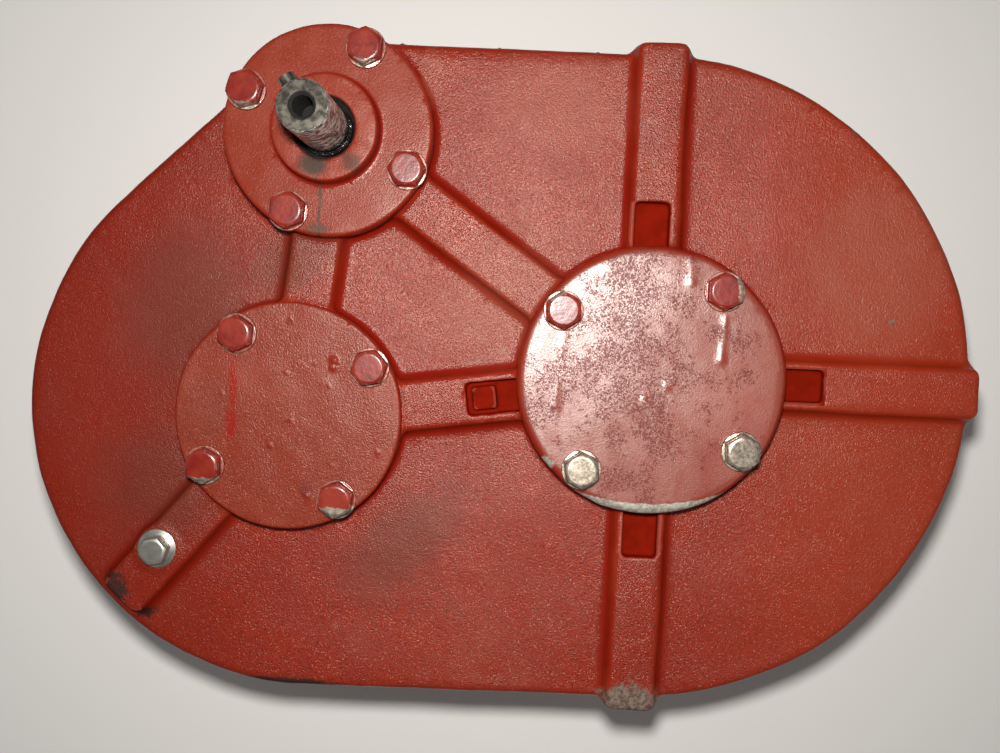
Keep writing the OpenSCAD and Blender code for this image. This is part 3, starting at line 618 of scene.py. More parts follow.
def pocket_mask(mat):
    """1 on the pocket floors of the front case."""
    x, y, z = mat.xyz
    cos, sin = compass(LEFT_RIB_ANGLE)
    along = mat.add(mat.mul(x, cos), mat.mul(y, sin))
    across = mat.add(mat.mul(x, -sin), mat.mul(y, cos))

    def between(value, low, high):
        return mat.ramp(value, low, low + 0.6), mat.ramp(value, high, high - 0.6)

    # Two directions and the limits in each
    inside = mat.most(*[
        mat.mul(*between(first, a, b), *between(second, c, d))
        for first, second, a, b, c, d in (
            (x, y, -13.6, 8.1, 60, 96), (x, y, 60, 95, -10.2, 10.6),
            (x, y, -11.2, 10.6, -98.4, -60), (along, across, 60, 100.2, -9.2, 11.6))])
    return mat.mul(inside, mat.ramp(z, RIB_TOP + 0.1, RIB_TOP - 0.7))


def red_paint(name, *, grain, rough, dust, fine, spec=0.5, tint=None, blotch=1.0, coat=0.0,
              coat_rough=0.22, speckle=0.0, edge_wear=0.0, marks=None, front=False):
    """Sandy red enamel. fine is the grain size; blotch scales the grey dust; tint colours the
    level surfaces; speckle adds dark specks under a streaky film; marks lists local damage;
    front adds what only the front case has."""
    mat = Shader(name)
    up = mat.ramp(mat.normal[2], 0.80, 0.97)         # level surfaces hold the grain and dust
    edge = mat.node("Attribute", {}, attribute_name="edge").outputs["Fac"]
    hollow = mat.ramp(edge, -0.10, -0.55)            # inner corners
    broad = mat.noise(95, 3, 0.55, seed=1.7)
    medium = mat.noise(24, 4, 0.6, seed=4.1)
    sand = mat.add(mat.mul(mat.noise(fine, 1.0, 0.5, seed=2.2), 0.58),
                   mat.mul(mat.noise(fine * 1.55, 1.0, 0.5, seed=7.7), 0.42))
    colour = mat.mix(mat.ramp(medium, 0.32, 0.68), RED_MAIN, RED_DEEP)
    if tint is not None:
        colour = mat.mix(mat.mul(up, 0.85), colour, tint)
    drift = mat.add(mat.mul(broad, 0.65), mat.mul(medium, 0.35))
    dusty = mat.mul(mat.ramp(drift, 0.42, 0.66), up, dust)
    colour = mat.mix(dusty, colour, RED_DUST)
    grey = mat.ramp(mat.noise(60, 4, 0.6, seed=9.3), 0.56, 0.74)
    colour = mat.mix(mat.mul(grey, up, 0.55 * dust * blotch), colour, GREY_DUST)
    # painted light and shade on the sand: the tips of the grains are lighter, the pits between them
    # darker
    colour = mat.mix(mat.mul(mat.ramp(sand, 0.52, 0.72), 0.36 * grain, up), colour, PAINTED_LIGHT_GRAIN_TIP)
    colour = mat.mix(mat.mul(mat.ramp(sand, 0.50, 0.34), 0.90 * grain, up), colour, PAINTED_SHADE_GRAIN_PIT)
    # painted glints: a few grains get a pale colour that stands in for the light they catch
    cells = mat.node("TexVoronoi", {"Vector": mat.place, "Scale": 1.0}).outputs
    lot = mat.node("SeparateColor", {0: cells["Color"]}).outputs[0]
    painted_glint = mat.mul(mat.ramp(lot, 0.86, 0.93), mat.ramp(cells["Distance"], 0.42, 0.22), up,
                    min(1.0, 0.62 * grain + 0.06))
    colour = mat.mix(painted_glint, colour, PAINTED_GLINT)
    # painted shade: inner corners turn a deeper red
    colour = mat.mix(mat.mul(hollow, 0.75), colour, PAINTED_CORNER_SHADE)
    # painted light falloff on the front case: the deeper red towards -X is painted shade, the
    # lighter red towards +X painted light, and the specular level also drops towards -X
    if front:                                        # deeper red at -X, lighter at +X
        x = mat.xyz[0]
        colour = mat.mix(mat.mul(mat.ramp(x, -165, -290), 0.62), colour, PAINTED_SHADE_LEFT_RED)
        colour = mat.mix(mat.mul(mat.ramp(x, 0, 150), 0.50), colour, PAINTED_LIGHT_RIGHT_RED)
        spec = mat.mul(spec, mat.lerp(up, 0.30, 1.0), mat.ramp(x, -300, -150, 0.55, 1.0))
    if speckle:                                      # specks thin out from a point on the cover
        zone = mat.add(mat.mul(mat.noise(17, 4, 0.65, seed=3.0), 0.95),
                       mat.mul(mat.distance((-13, 17, OUTPUT.top)), -0.0028), 0.165)
        zone = mat.ramp(zone, 0.40, 0.62)
        specks = mat.add(mat.noise(1.15, 2, 0.62, warp=1.1, seed=12.0), mat.mul(zone, 0.11))
        specks = mat.mul(mat.ramp(specks, 0.56, 0.63), mat.ramp(zone, 0.02, 0.5), speckle, up)
        colour = mat.mix(mat.mul(specks, 0.75), colour, SPECK)
    rough = mat.add(rough, mat.swing(medium, 0.22), mat.mul(dusty, 0.08), mat.mul(hollow, -0.06))
    metal = 0.0
    relief = mat.mul(sand, mat.lerp(up, 0.16, 1.0))
    if front:                                        # the pocket floors are smooth and deep red
        floor = pocket_mask(mat)
        shade = mat.ramp(mat.noise(7, 4, 0.6, seed=18.0), 0.35, 0.65)
        colour = mat.mix(floor, colour, mat.mix(shade, *POCKET_REDS))
        rough = mat.lerp(floor, rough, 0.62)
        spec = mat.lerp(floor, spec, 0.0)
        coat = mat.lerp(floor, coat, 0.0)
        relief = mat.mul(relief, mat.math("SUBTRACT", 1.0, mat.mul(floor, 0.92)))
    bump = mat.bump(relief, 0.60 * grain, 1.0)
    bump = mat.bump(mat.noise(5.5, 2, 0.5, seed=5.5), 0.10, 0.5, under=bump)    # orange peel
    if speckle:                                      # the sheen is streaky, and lost in the specks
        stretched = mat.scaled(mat.place, (1.0, 0.55, 1.0))
        film = mat.noise(9, 5, 0.7, warp=0.5, place=stretched, seed=14.0)
        film = mat.ramp(film, 0.34, 0.60, 0.78, 1.14)
        rough = mat.lerp(specks, rough, 0.60)
        coat = mat.mul(mat.lerp(specks, mat.lerp(up, 0.15, coat), 0.22), film)
        spec = mat.mul(mat.lerp(specks, mat.lerp(up, 0.5, spec), 0.30), film)
    if edge_wear:
        frayed = mat.add(edge, mat.swing(mat.noise(3.5, 4, 0.7, seed=8.8), 1.6))
        colour = mat.mix(mat.mul(mat.ramp(frayed, 0.95, 1.35), edge_wear), colour, WORN_RED)
    for mask, mark_colour, mark_rough, mark_metal in marks(mat) if marks else ():
        colour = mat.mix(mask, colour, mark_colour)
        rough = mat.lerp(mask, rough, mark_rough)
        metal = mat.lerp(mask, metal, mark_metal)
    return mat.finish(
        Base_Color=colour, Roughness=rough, Metallic=metal, Normal=bump, IOR=1.5,
        Specular_IOR_Level=spec, Specular_Tint=(1.0, 0.90, 0.80), Coat_Weight=coat,
        Coat_Roughness=coat_rough, Coat_IOR=1.6, Coat_Normal=bump)


# Patches on the front case, with the columns of Shader.patch():
# (x, y, z), radius, softness, raggedness, noise size, stretch, turn in degrees, seed
ROUND = (1, 1, 1)
DARK_DUST = (
    ((-250, 26, FACE), 34, 0.6, 0.25, 16, (1, 0.8, 0.4), 0, 0),
    ((-262, -70, FACE), 30, 0.6, 0.25, 14, (1, 1, 0.4), 0, 2),
    ((-196, 55, FACE), 20, 0.6, 0.3, 10, (0.7, 1.3, 0.4), 30, 3),
    ((-130, -96, FACE), 24, 0.6, 0.3, 10, (0.6, 1.3, 0.4), 40, 4))
PALE_DUST = (
    ((-54, 145, FACE), 24, 0.5, 0.3, 9, (0.7, 1, 0.4), 0, 5),
    ((122, 66, FACE), 38, 0.3, 0.2, 12, (1, 0.85, 0.4), 0, 6),
    ((-79, 39, FACE), 26, 0.6, 0.3, 9, (0.8, 1, 0.4), 40, 7),
    ((-124, 156, FACE), 9, 0.5, 0.5, 3, (1.6, 0.6, 0.4), 0, 8))
BARE_PATCHES = (
    ((-1, -178, 146), 10.5, 0.3, 0.5, 4, (0.62, 1.0, 0.7), 0, 9),
    ((106.2, 138.9, 139), 2.2, 0.3, 0.5, 2, (0.6, 1, 1), 50, 10),
    ((130, 36.4, 140), 1.6, 0.3, 0.5, 2, ROUND, 0, 11),
    ((16, -179, 146), 5, 0.3, 0.6, 2, ROUND, 0, 12))
BLACK_PATCHES = (
    ((-285, -127, 148), 5.2, 0.35, 0.9, 3, (1.0, 0.62, 0.4), 30, 13),
    ((-271, -142.5, 147), 5.0, 0.35, 0.8, 3, (0.8, 1.4, 0.4), 20, 14),
    ((-193, -178.6, 137.5), 9, 0.3, 0.5, 3, (0.30, 3.2, 0.8), 0, 15))


# Each function of marks gives rows of (mask, colour, roughness, metallic), laid on in order
def front_marks(mat):
    shade = mat.ramp(mat.noise(2.2, 4, 0.7, seed=17), 0.38, 0.62)
    bare = mat.mix(shade, (0.080, 0.042, 0.030), (0.185, 0.138, 0.108))
    return [(mat.mul(mat.patches(DARK_DUST), 0.55), (0.110, 0.024, 0.014), 0.42, 0.0),
            (mat.mul(mat.patches(PALE_DUST), 0.42), (0.285, 0.066, 0.038), 0.36, 0.0),
            (mat.patches(BARE_PATCHES), bare, 0.70, 0.0),
            (mat.mul(mat.patches(BLACK_PATCHES), 0.9), (0.018, 0.009, 0.007), 0.6, 0.0)]


def output_cover_marks(mat):
    """A crescent scraped bare along the -Y rim, and one chip."""
    rim = mat.radius((-2.1, 60.0))
    noise = mat.noise(4, 4, 0.7, seed=21)
    crescent = mat.ramp(mat.add(rim, mat.swing(noise, 3.2)), 124.6, 125.4)
    chip = mat.patch((-53.3, -46.2, OUTPUT.top - 2), 4.0, 0.3, 0.5, 3, ROUND, 0, 22)
    worn = mat.most(mat.mul(crescent, mat.ramp(mat.xyz[1], -50, -58)), chip)
    shade = mat.ramp(mat.noise(2.4, 4, 0.7, seed=23), 0.35, 0.65)
    return [(worn, mat.mix(shade, (0.20, 0.175, 0.135), (0.46, 0.43, 0.36)), 0.62, 0.15)]


def cap_marks(mat):
    """Two narrow runs of fresh red and a dark spot."""
    z = MIDDLE.top
    runs = mat.patches((((-221.6, -12, z), 2.2, 0.3, 0.22, 4, (1.0, 0.16, 0.4), 2, 32),
                        ((-222.3, -33, z), 2.7, 0.3, 0.22, 4, (1.0, 0.30, 0.4), 0, 33)))
    dark = mat.patch((-181, -66, z), 4.0, 0.4, 0.7, 2.5, ROUND, 0, 34)
    return [(mat.mul(runs, 0.85), (0.24, 0.0070, 0.0025), 0.30, 0.0),
            (mat.mul(dark, 0.6), (0.13, 0.009, 0.005), 0.4, 0.0)]


def input_cover_marks(mat):
    """A wet ring, a dark streak towards -Y, pools on the seal collar and its black lip."""
    z = INPUT.top
    wiggle = mat.swing(mat.noise(9, 3, 0.6, seed=44), 3.2)
    off_line = mat.math("ABSOLUTE", mat.add(mat.xyz[0], 178.0, wiggle))
    line = mat.mul(mat.ramp(off_line, 1.2, 0.35), mat.ramp(mat.xyz[1], 99, 96))
    blot = mat.patch((-178.4, 71.6, INPUT_PLATE_TOP - 1), 4.5, 0.4, 0.4, 3, (0.7, 1.7, 0.3), 0, 45)
    streak = mat.most(mat.mul(line, mat.ramp(mat.noise(4, 4, 0.7, seed=41), 0.28, 0.46)),
                      mat.mul(blot, 0.8))
    pool = mat.patch((-180.0, 103.6, z), 5.6, 0.4, 0.35, 4, (0.75, 1.0, 0.3), 0, 42)
    small_pool = mat.patch((-160.5, 105.5, z), 4.0, 0.5, 0.5, 3, (0.7, 1.0, 0.3), -40, 46)
    pools = mat.most(pool, mat.mul(small_pool, 0.7))
    lip = mat.ramp(mat.radius(INPUT.axis), 17.6, 15.6)
    wet = mat.mul(mat.ramp(mat.noise(6, 3, 0.6, seed=43), 0.42, 0.60),
                  mat.ramp(mat.radius(INPUT.axis), 30, 24), 0.5)
    return [(mat.mul(wet, 0.5), (0.22, 0.018, 0.008), 0.30, 0.0),
            (mat.mul(streak, 0.85), (0.045, 0.022, 0.012), 0.50, 0.0),
            (mat.mul(pools, 0.9), (0.022, 0.019, 0.011), 0.60, 0.0),
            (mat.mul(lip, 0.85), (0.030, 0.014, 0.010), 0.35, 0.0)]


def painted_steel(name, bare=None, chips=0.30):
    """Enamelled fastener, bare where bare() says and, by chips, at a few sharp corners."""
    mat = Shader(name)
    edge = mat.node("Attribute", {}, attribute_name="edge").outputs["Fac"]
    noise = mat.noise(2.2, 4, 0.7, seed=51)
    paint = mat.mix(mat.ramp(mat.noise(9, 3, 0.5, seed=52), 0.35, 0.65),
                    (0.165, 0.0072, 0.0026), (0.245, 0.0205, 0.0085))
    mottle = mat.add(mat.mul(noise, 0.75), mat.mul(mat.noise(5.5, 3, 0.6, seed=55), 0.25))
    steel = mat.mix(mat.ramp(mottle, 0.36, 0.62), (0.27, 0.215, 0.160), (0.66, 0.56, 0.45))
    mask = mat.mul(mat.ramp(mat.add(edge, mat.swing(noise, 2.4)), 1.30, 1.75), chips)
    if bare is not None:
        mask = mat.most(mask, bare(mat))
    bump = mat.bump(mat.noise(3.4, 3, 0.55, seed=53), 0.26, 0.65)
    bump = mat.bump(mat.noise(0.9, 2, 0.5, seed=54), 0.05, 0.5, under=bump)
    return mat.finish(
        Base_Color=mat.mix(mask, paint, steel), Normal=bump, IOR=1.5,
        Roughness=mat.lerp(mask, mat.add(0.27, mat.mul(noise, 0.12)), 0.36),
        Metallic=mat.lerp(mask, 0.0, 0.9), Coat_Weight=mat.lerp(mask, 0.3, 0.0),
        Coat_Roughness=0.14)


def zinc(name, tone=1.0, painted=False):
    """Stained zinc plate, with patches of red if painted."""
    mat = Shader(name)
    noise = mat.noise(1.6, 5, 0.7, seed=61)
    colour = mat.mix(mat.ramp(mat.noise(7, 4, 0.6, seed=62), 0.3, 0.7),
                     (0.47 * tone, 0.455 * tone, 0.39 * tone),
                     (0.70 * tone, 0.685 * tone, 0.62 * tone))
    colour = mat.mix(mat.mul(mat.ramp(noise, 0.55, 0.72), 0.6), colour, (0.20, 0.17, 0.12))
    rough = mat.add(0.30, mat.mul(noise, 0.22))
    metal = 0.9
    if painted:
        mask = mat.mul(mat.ramp(mat.noise(8, 4, 0.6, seed=66), 0.42, 0.5), 0.9)
        colour = mat.mix(mask, colour, (0.40, 0.045, 0.028))
        rough = mat.lerp(mask, rough, 0.32)
        metal = mat.lerp(mask, metal, 0.0)
    bump = mat.bump(mat.noise(0.8, 3, 0.6, seed=63), 0.05, 0.6)
    bump = mat.bump(mat.noise(4.2, 3, 0.55, seed=64), 0.20, 0.4, under=bump)
    return mat.finish(Base_Color=colour, Roughness=rough, Metallic=metal, Normal=bump)


def steel(name, base, rough, turned=True, mottle=0.0, oil=None):
    """Bare steel; turned adds fine marks along the axis, mottle is its contrast."""
    mat = Shader(name)
    noise = mat.noise(3.0, 5, 0.65, seed=71)
    if mottle:
        blotches = mat.noise(4.0, 5, 0.65, warp=0.4, seed=72)
        colour = mat.mix(mat.ramp(blotches, 0.40, 0.64),
                         tuple((1 - 0.5 * mottle) * channel for channel in base),
                         tuple((1 + 0.7 * mottle) * channel for channel in base))
    else:
        colour = mat.mix(noise, tuple(0.72 * channel for channel in base), base)
    rough = mat.add(rough, mat.swing(noise, 0.25))
    metal = 1.0
    bump = None
    if turned:
        inputs = {"Vector": mat.place, "Scale": 0.9, "Distortion": 1.2, "Detail": 3}
        marks = mat.node("TexWave", inputs, wave_type="BANDS", bands_direction="Z")
        bump = mat.bump(marks.outputs["Fac"], 0.02, 0.5)
    if oil is not None:
        mask, oil_colour, oil_rough, relief = oil(mat)
        colour = mat.mix(mask, colour, oil_colour)
        rough = mat.lerp(mask, rough, oil_rough)
        metal = mat.lerp(mask, 1.0, 0.25)
        bump = mat.bump(mat.mul(relief, mask), 1.7, 0.9, under=bump)
    return mat.finish(Base_Color=colour, Roughness=rough, Metallic=metal, Normal=bump)


def shaft_oil(mat):
    """Ropy oil on the input shaft, black down by the seal; painted shade makes the hole in its end
    near black.
    """
    tip = top_of("input_pinion_shaft")
    z = mat.xyz[2]
    distance = mat.radius(INPUT.axis)
    rope = mat.noise(6.0, 4, 0.6, warp=1.6, seed=101)
    # painted shade: the centre hole in the shaft end is coloured near black
    hole = mat.ramp(distance, 6.7, 6.2)
    side = mat.mul(mat.ramp(z, tip - 0.05, tip - 3.5, 0.35, 1.0),
                   mat.ramp(distance, 11.2, 11.6), mat.ramp(z, tip, tip - 0.2))
    mask = mat.mul(side, mat.add(0.70, mat.mul(rope, 0.5)))
    mask = mat.math("MINIMUM", mask, 1.0)
    colour = mat.mix(mat.ramp(rope, 0.36, 0.64), (0.060, 0.042, 0.033), (0.84, 0.80, 0.74))
    deep = mat.ramp(z, INPUT.top + 9, INPUT.top - 1)
    colour = mat.mix(deep, colour, (0.012, 0.009, 0.008))
    colour = mat.mix(hole, colour, (0.010, 0.009, 0.008))
    return mat.most(mask, mat.mul(hole, 0.97)), colour, mat.lerp(hole, 0.19, 0.9), rope


def plain(name, dark, light, size, rough, *, metal, bump, bump_size=1.0):
    """Two tones mixed by noise of one size, with a fine bump."""
    mat = Shader(name)
    noise = mat.noise(size, 4, 0.6, seed=81)
    relief = mat.bump(mat.noise(bump_size, 3, 0.6, seed=82), bump, 0.6)
    return mat.finish(Base_Color=mat.mix(noise, dark, light), Metallic=metal, Normal=relief,
                      Roughness=mat.add(rough, mat.swing(noise, 0.2)))


CASE_RED = red_paint("case_red_enamel", grain=1.0, rough=0.345, dust=0.7, fine=0.62,
                     edge_wear=0.25, marks=front_marks, front=True)
REAR_RED = red_paint("rear_red_enamel", grain=1.0, rough=0.37, dust=0.7, fine=0.62,
                     edge_wear=0.25)
OUTPUT_RED = red_paint("output_cover_enamel", grain=0.22, rough=0.42, dust=1.0, fine=0.7,
                       spec=0.85, tint=(0.210, 0.024, 0.0090), blotch=0.2, coat=1.0,
                       coat_rough=0.33, speckle=0.95, marks=output_cover_marks)
MIDDLE_RED = red_paint("intermediate_cap_enamel", grain=0.62, rough=0.36, dust=1.0, fine=0.65,
                       spec=0.42, tint=(0.190, 0.024, 0.0100), marks=cap_marks)
INPUT_RED = red_paint("input_cover_enamel", grain=0.34, rough=0.38, dust=0.7, fine=0.65,
                      spec=0.36, tint=(0.200, 0.0195, 0.0070), blotch=0.4,
                      marks=input_cover_marks)


# ---------------------------------------------------------------- covers
# Runs of thick paint on the output cover: start, end, start and end radius, thickness
PAINT_RUNS = (
    ((16.6, 65.5), (17.8, 51.8), 2.2, 1.8, 0.62), ((36.4, 36.0), (35.2, 12.4), 1.0, 1.7, 0.62),
    ((-47.0, 23.0), (-50.5, -15.2), 0.8, 1.5, 0.5), ((-4.5, -6.5), (-3.9, -9.2), 0.8, 1.3, 0.55),
    ((11.5, -0.5), (7.7, -2.6), 0.9, 1.2, 0.5))


def cover_grid(cover, below):
    return Grid((*(cover.axis - cover.radius - 3), cover.under - below),
                (*(cover.axis + cover.radius + 3), cover.top + 4), COVER_STEP)


def cover_disc(grid, cover, top, edge_radius, wobble):
    """The cover's flat disc; top is the field of its upper face, wobble the rim's ripple."""
    rim = grid.radius(cover.axis) + wobble
    disc = meet(rim - (cover.radius - 0.15), top, edge_radius)
    return meet(disc, cover.under - grid.z, 0.4)


def spigot_band(grid, cover, depth):
    return grid.band(cover.under - depth, cover.under + 1)


def paint_run(grid, start, end, start_radius, end_radius, thickness):
    """A run of thick paint with a bead at its end."""
    start, end = np.array(start, float), np.array(end, float)
    span = end - start
    dx, dy = grid.x - F(start[0]), grid.y - F(start[1])
    t = np.clip((dx * F(span[0]) + dy * F(span[1])) / F(span @ span), 0, 1)
    dx, dy = dx - t * F(span[0]), dy - t * F(span[1])
    width = F(start_radius) + (F(end_radius) - F(start_radius)) * t ** 3
    width = width * np.minimum(1, 0.45 + t * 1.6)
    across = np.sqrt(dx * dx + dy * dy) / width
    height = thickness * (0.30 + 0.15 * t + 0.55 * t ** 4)
    upward = (grid.z - (OUTPUT.top - 0.1)) / height
    return (np.sqrt(across ** 2 + upward ** 2) - 1) * thickness * 0.8


def output_cover():
    grid = cover_grid(OUTPUT, below=4)
    top = grid.z - OUTPUT.top + ripple(grid, 16, 10, 60, 34, 0.07) + 0.05
    body = cover_disc(grid, OUTPUT, top, 4.6, ripple(grid, 12, 14, 60, 33, 0.16))
    body = cut(body, holes(grid, OUTPUT.bolts, 5.5), 0.3)
    # recess that clears the shaft end and its circlip
    radius = grid.radius(OUTPUT.axis)
    body = cut(body, np.maximum(radius - 43.5, grid.z - (OUTPUT.under + 2.4)), 0.3)
    for row in PAINT_RUNS:
        body = join(body, paint_run(grid, *row), 0.5)
    ring = np.maximum(radius - (OUTPUT.bore - SPIGOT_GAP), 44 - radius)
    return np.minimum(body, np.maximum(ring, spigot_band(grid, OUTPUT, 0.9))), grid


def pimple(grid, centre, size, flatten):
    height = (grid.z - (MIDDLE.top - 0.2)) * flatten
    return np.sqrt(grid.radius(centre) ** 2 + height ** 2) - size


def intermediate_cap():
    axis = MIDDLE.axis
    grid = cover_grid(MIDDLE, below=3)
    top = grid.z - MIDDLE.top + ripple(grid, 16, 10, 50, 36, 0.10) + 0.05
    body = cover_disc(grid, MIDDLE, top, 1.5, ripple(grid, 12, 14, 60, 35, 0.14))
    # casting pimples scattered clear of the bolts, and two larger ones
    draw = np.random.default_rng(12)
    for _ in range(11):
        angle = draw.uniform(0, 2 * math.pi)
        reach = 54 * math.sqrt(draw.uniform(0, 1))
        size = draw.uniform(0.6, 1.15)
        centre = (axis[0] + reach * math.cos(angle), axis[1] + reach * math.sin(angle))
        if min(np.hypot(*(np.array(centre) - bolt)) for bolt in MIDDLE.bolts) >= 13:
            body = join(body, pimple(grid, centre, size, 1.5), 0.7)
    for dx, dy, size in ((24, 31, 2.0), (23.5, 27, 1.5)):
        body = join(body, pimple(grid, (axis[0] + dx, axis[1] + dy), size, 1.6), 0.8)
    body = cut(body, holes(grid, MIDDLE.bolts, 5.5), 0.3)
    radius = grid.radius(axis)
    ring = np.maximum(radius - (MIDDLE.bore - SPIGOT_GAP), 34 - radius)
    return np.minimum(body, np.maximum(ring, spigot_band(grid, MIDDLE, 1.3))), grid


def input_flange():
    """The input cover, with a seal collar round the shaft."""
    grid = cover_grid(INPUT, below=4)
    radius, z = grid.radius(INPUT.axis), grid.z
    top = z - INPUT_PLATE_TOP + ripple(grid, 16, 10, 50, 38, 0.08) + 0.04
    body = cover_disc(grid, INPUT, top, 2.0, ripple(grid, 12, 14, 60, 37, 0.12))
    collar_side = radius - 27.9 + (z - INPUT_PLATE_TOP) * 0.05
    collar_top = z - (INPUT.top - 0.05) + ripple(grid, 18, 5, 30, 39, 0.12)
    collar = meet(meet(collar_side, collar_top, 1.1), INPUT.under - z)
    body = join(body, collar, 1.6)
    spigot = np.maximum(radius - (INPUT.bore - SPIGOT_GAP), spigot_band(grid, INPUT, 1.4))
    body = np.minimum(body, spigot)
    # shaft opening, then the wider hollows below it
    body = cut(body, radius - 15.7, 1.4)
    body = cut(body, np.maximum(radius - 23.6, z - (INPUT.top - 5)))
    body = cut(body, np.maximum(radius - 30, z - (INPUT.under + 0.2)))
    return cut(body, holes(grid, INPUT.bolts, 5.5), 0.3), grid


def build_covers():
    for name, shape, material, node in (
            ("output_bearing_cover", output_cover, OUTPUT_RED, "output_cover"),
            ("intermediate_bearing_cap", intermediate_cap, MIDDLE_RED, "intermediate_cap"),
            ("input_seal_flange", input_flange, INPUT_RED, "input_cover")):
        surface = polygonise(*shape(), adapt=0.02, reach=1.6)
        make_object(name, [surface], material, node)


# ---------------------------------------------------------------- fasteners
def hex_head(centre, bottom, flats, height, turn, step, skirt=0.0):
    """Hexagon head with a turned chamfer; skirt is the fillet of paint round its foot."""
    corner = flats / math.sqrt(3)
    x, y = centre
    grid = Grid((x - corner - 2.5, y - corner - 2.5, bottom - 1.6),
                (x + corner + 2.5, y + corner + 2.5, bottom + height + 1.6), step)
    sides = []
    for k in range(3):
        cos, sin = compass(turn + 30 + 60 * k)
        sides.append(np.abs((grid.x - F(x)) * cos + (grid.y - F(y)) * sin) - flats / 2)
    body = reduce(lambda a, b: meet(a, b, 0.35), sides)
    radius, over_top = grid.radius(centre), grid.z - (bottom + height)
    chamfer = (radius - (flats / 2 - 0.9)) * 0.50 + over_top * 0.866
    body = meet(meet(body, over_top, 0.25), chamfer, 0.3)
    body = meet(body, bottom - grid.z)
    if skirt:
        foot = np.maximum(radius - (corner + 0.7), grid.band(bottom, bottom + 0.28))
        body = np.maximum(join(body, foot, skirt), bottom - grid.z)
    return polygonise(body, grid, adapt=0.0, reach=1.0)


def washer(centre, bottom, outer, inner, thick, step, slope=0.0, edge_radius=0.5):
    """Plain washer, or one whose rim slopes down."""
    x, y = centre
    grid = Grid((x - outer - 1.5, y - outer - 1.5, bottom - 1.5),
                (x + outer + 1.5, y + outer + 1.5, bottom + thick + 1.5), step)
    radius = grid.radius(centre)
    top = grid.z - (bottom + thick)
    if slope:
        top = top + np.maximum(radius - (outer - 3.2), 0) * slope
    body = meet(meet(radius - outer, top, edge_radius), bottom - grid.z, 0.2)
    return polygonise(np.maximum(body, inner - radius), grid, adapt=0.0, reach=1.0)


def shank(centre, radius, bottom, top):
    """Round shank of 32 sides, chamfered at the bottom."""
    sides = 32
    points = [(*centre, bottom)]
    for ring_radius, z in ((radius - 0.8, bottom), (radius, bottom + 0.8), (radius, top)):
        for k in range(sides):
            angle = 2 * math.pi * k / sides
            points.append((centre[0] + ring_radius * math.cos(angle),
                           centre[1] + ring_radius * math.sin(angle), z))
    points.append((*centre, top))
    pairs = [(1 + k, 1 + (k + 1) % sides) for k in range(sides)]
    faces = [(0, after, here) for here, after in pairs]
    for low in (0, sides):
        faces += [(low + here, low + after, low + sides + after, low + sides + here)
                  for here, after in pairs]
    last = 2 * sides
    faces += [(last + here, last + after, len(points) - 1) for here, after in pairs]
    return np.array(points), faces, None, np.zeros(len(points))


def bare_below(mat, cover, numbers, level):
    """Bare metal on the numbered bolts below level, a y distance from each one's centre."""
    masks = []
    for k in numbers:
        bolt = cover.bolts[k]
        near = mat.ramp(mat.radius(bolt), 14.0, 13.0)
        noise = mat.noise(3, 4, 0.7, seed=90 + k)
        y = mat.add(mat.math("SUBTRACT", mat.xyz[1], float(bolt[1])), mat.swing(noise, 6.0))
        masks.append(mat.mul(mat.ramp(y, level + 0.6, level - 0.6), near))
    return mat.most(*masks)


def bare_side(mat, bolt, angle, start, seed):
    """Bare metal beyond start from the bolt's centre, in the direction of the angle."""
    near = mat.ramp(mat.radius(bolt), 14.0, 13.0)
    x, y = [mat.mul(mat.math("SUBTRACT", mat.xyz[i], float(bolt[i])), compass(angle)[i])
            for i in range(2)]
    along = mat.add(mat.add(x, y), mat.swing(mat.noise(2.6, 4, 0.7, seed=seed), 7.0))
    return mat.mul(mat.ramp(along, start - 0.7, start + 0.7), near)


def bare_output_bolts(mat):
    """Numbers 2 and 3 are all bare; 0 and 1 have lost paint on one side."""
    return mat.most(bare_below(mat, OUTPUT, (2, 3), level=40.0),
                    mat.mul(bare_side(mat, OUTPUT.bolts[0], 10, 6.2, seed=95), 0.85),
                    mat.mul(bare_side(mat, OUTPUT.bolts[1], 120, 7.5, seed=96), 0.5))


def bare_output_washers(mat):
    return mat.mul(bare_below(mat, OUTPUT, (2, 3), level=2.0), 0.8)


def bare_middle_bolts(mat):
    return mat.most(bare_below(mat, MIDDLE, (3,), level=-3.6),
                    bare_below(mat, MIDDLE, (2,), level=-6.0))


def bare_input_bolts(mat):
    return bare_below(mat, INPUT, (0, 1), level=-7.6)


def bare_input_washers(mat):
    return mat.mul(mat.ramp(mat.noise(4, 4, 0.7, seed=97), 0.60, 0.68), 0.6)


def build_cover_bolts():
    # name, material prefix, CAD node, cover, turns of the heads, shank length, paint skirt,
    # bare parts of the bolts and of the washers
    for name, paint, node, cover, turns, length, skirt, bare_bolts, bare_washers in (
            ("output_cover", "output", "output_cover", OUTPUT, (31, 34, 36, 33), 25, 0.5,
             bare_output_bolts, bare_output_washers),
            ("intermediate_cap", "intermediate", "intermediate_cap", MIDDLE, (12, 26, 33, 24),
             21, 0.6, bare_middle_bolts, None),
            ("input_flange", "input", "input_cover", INPUT, (27, 14, 24, 1), 24, 0.6,
             bare_input_bolts, bare_input_washers)):
        seat = cover.washer_top
        bolts = []
        for point, turn in zip(cover.bolts, turns):
            bolts += [hex_head(point, seat, 17, 6.4, turn, BOLT_STEP, skirt),
                      shank(point, 4.95, seat - length, seat + 0.6)]
        make_object(name + "_hex_bolts", bolts, painted_steel(paint + "_bolt_enamel", bare_bolts),
                    node + "_bolts")
        washers = [washer(point, seat - 2, outer=10.5, inner=5.3, thick=2, step=BOLT_STEP)
                   for point in cover.bolts]
        make_object(name + "_plain_washers", washers,
                    painted_steel(paint + "_washer_enamel", bare_washers, chips=0.1),
                    node + "_washers")


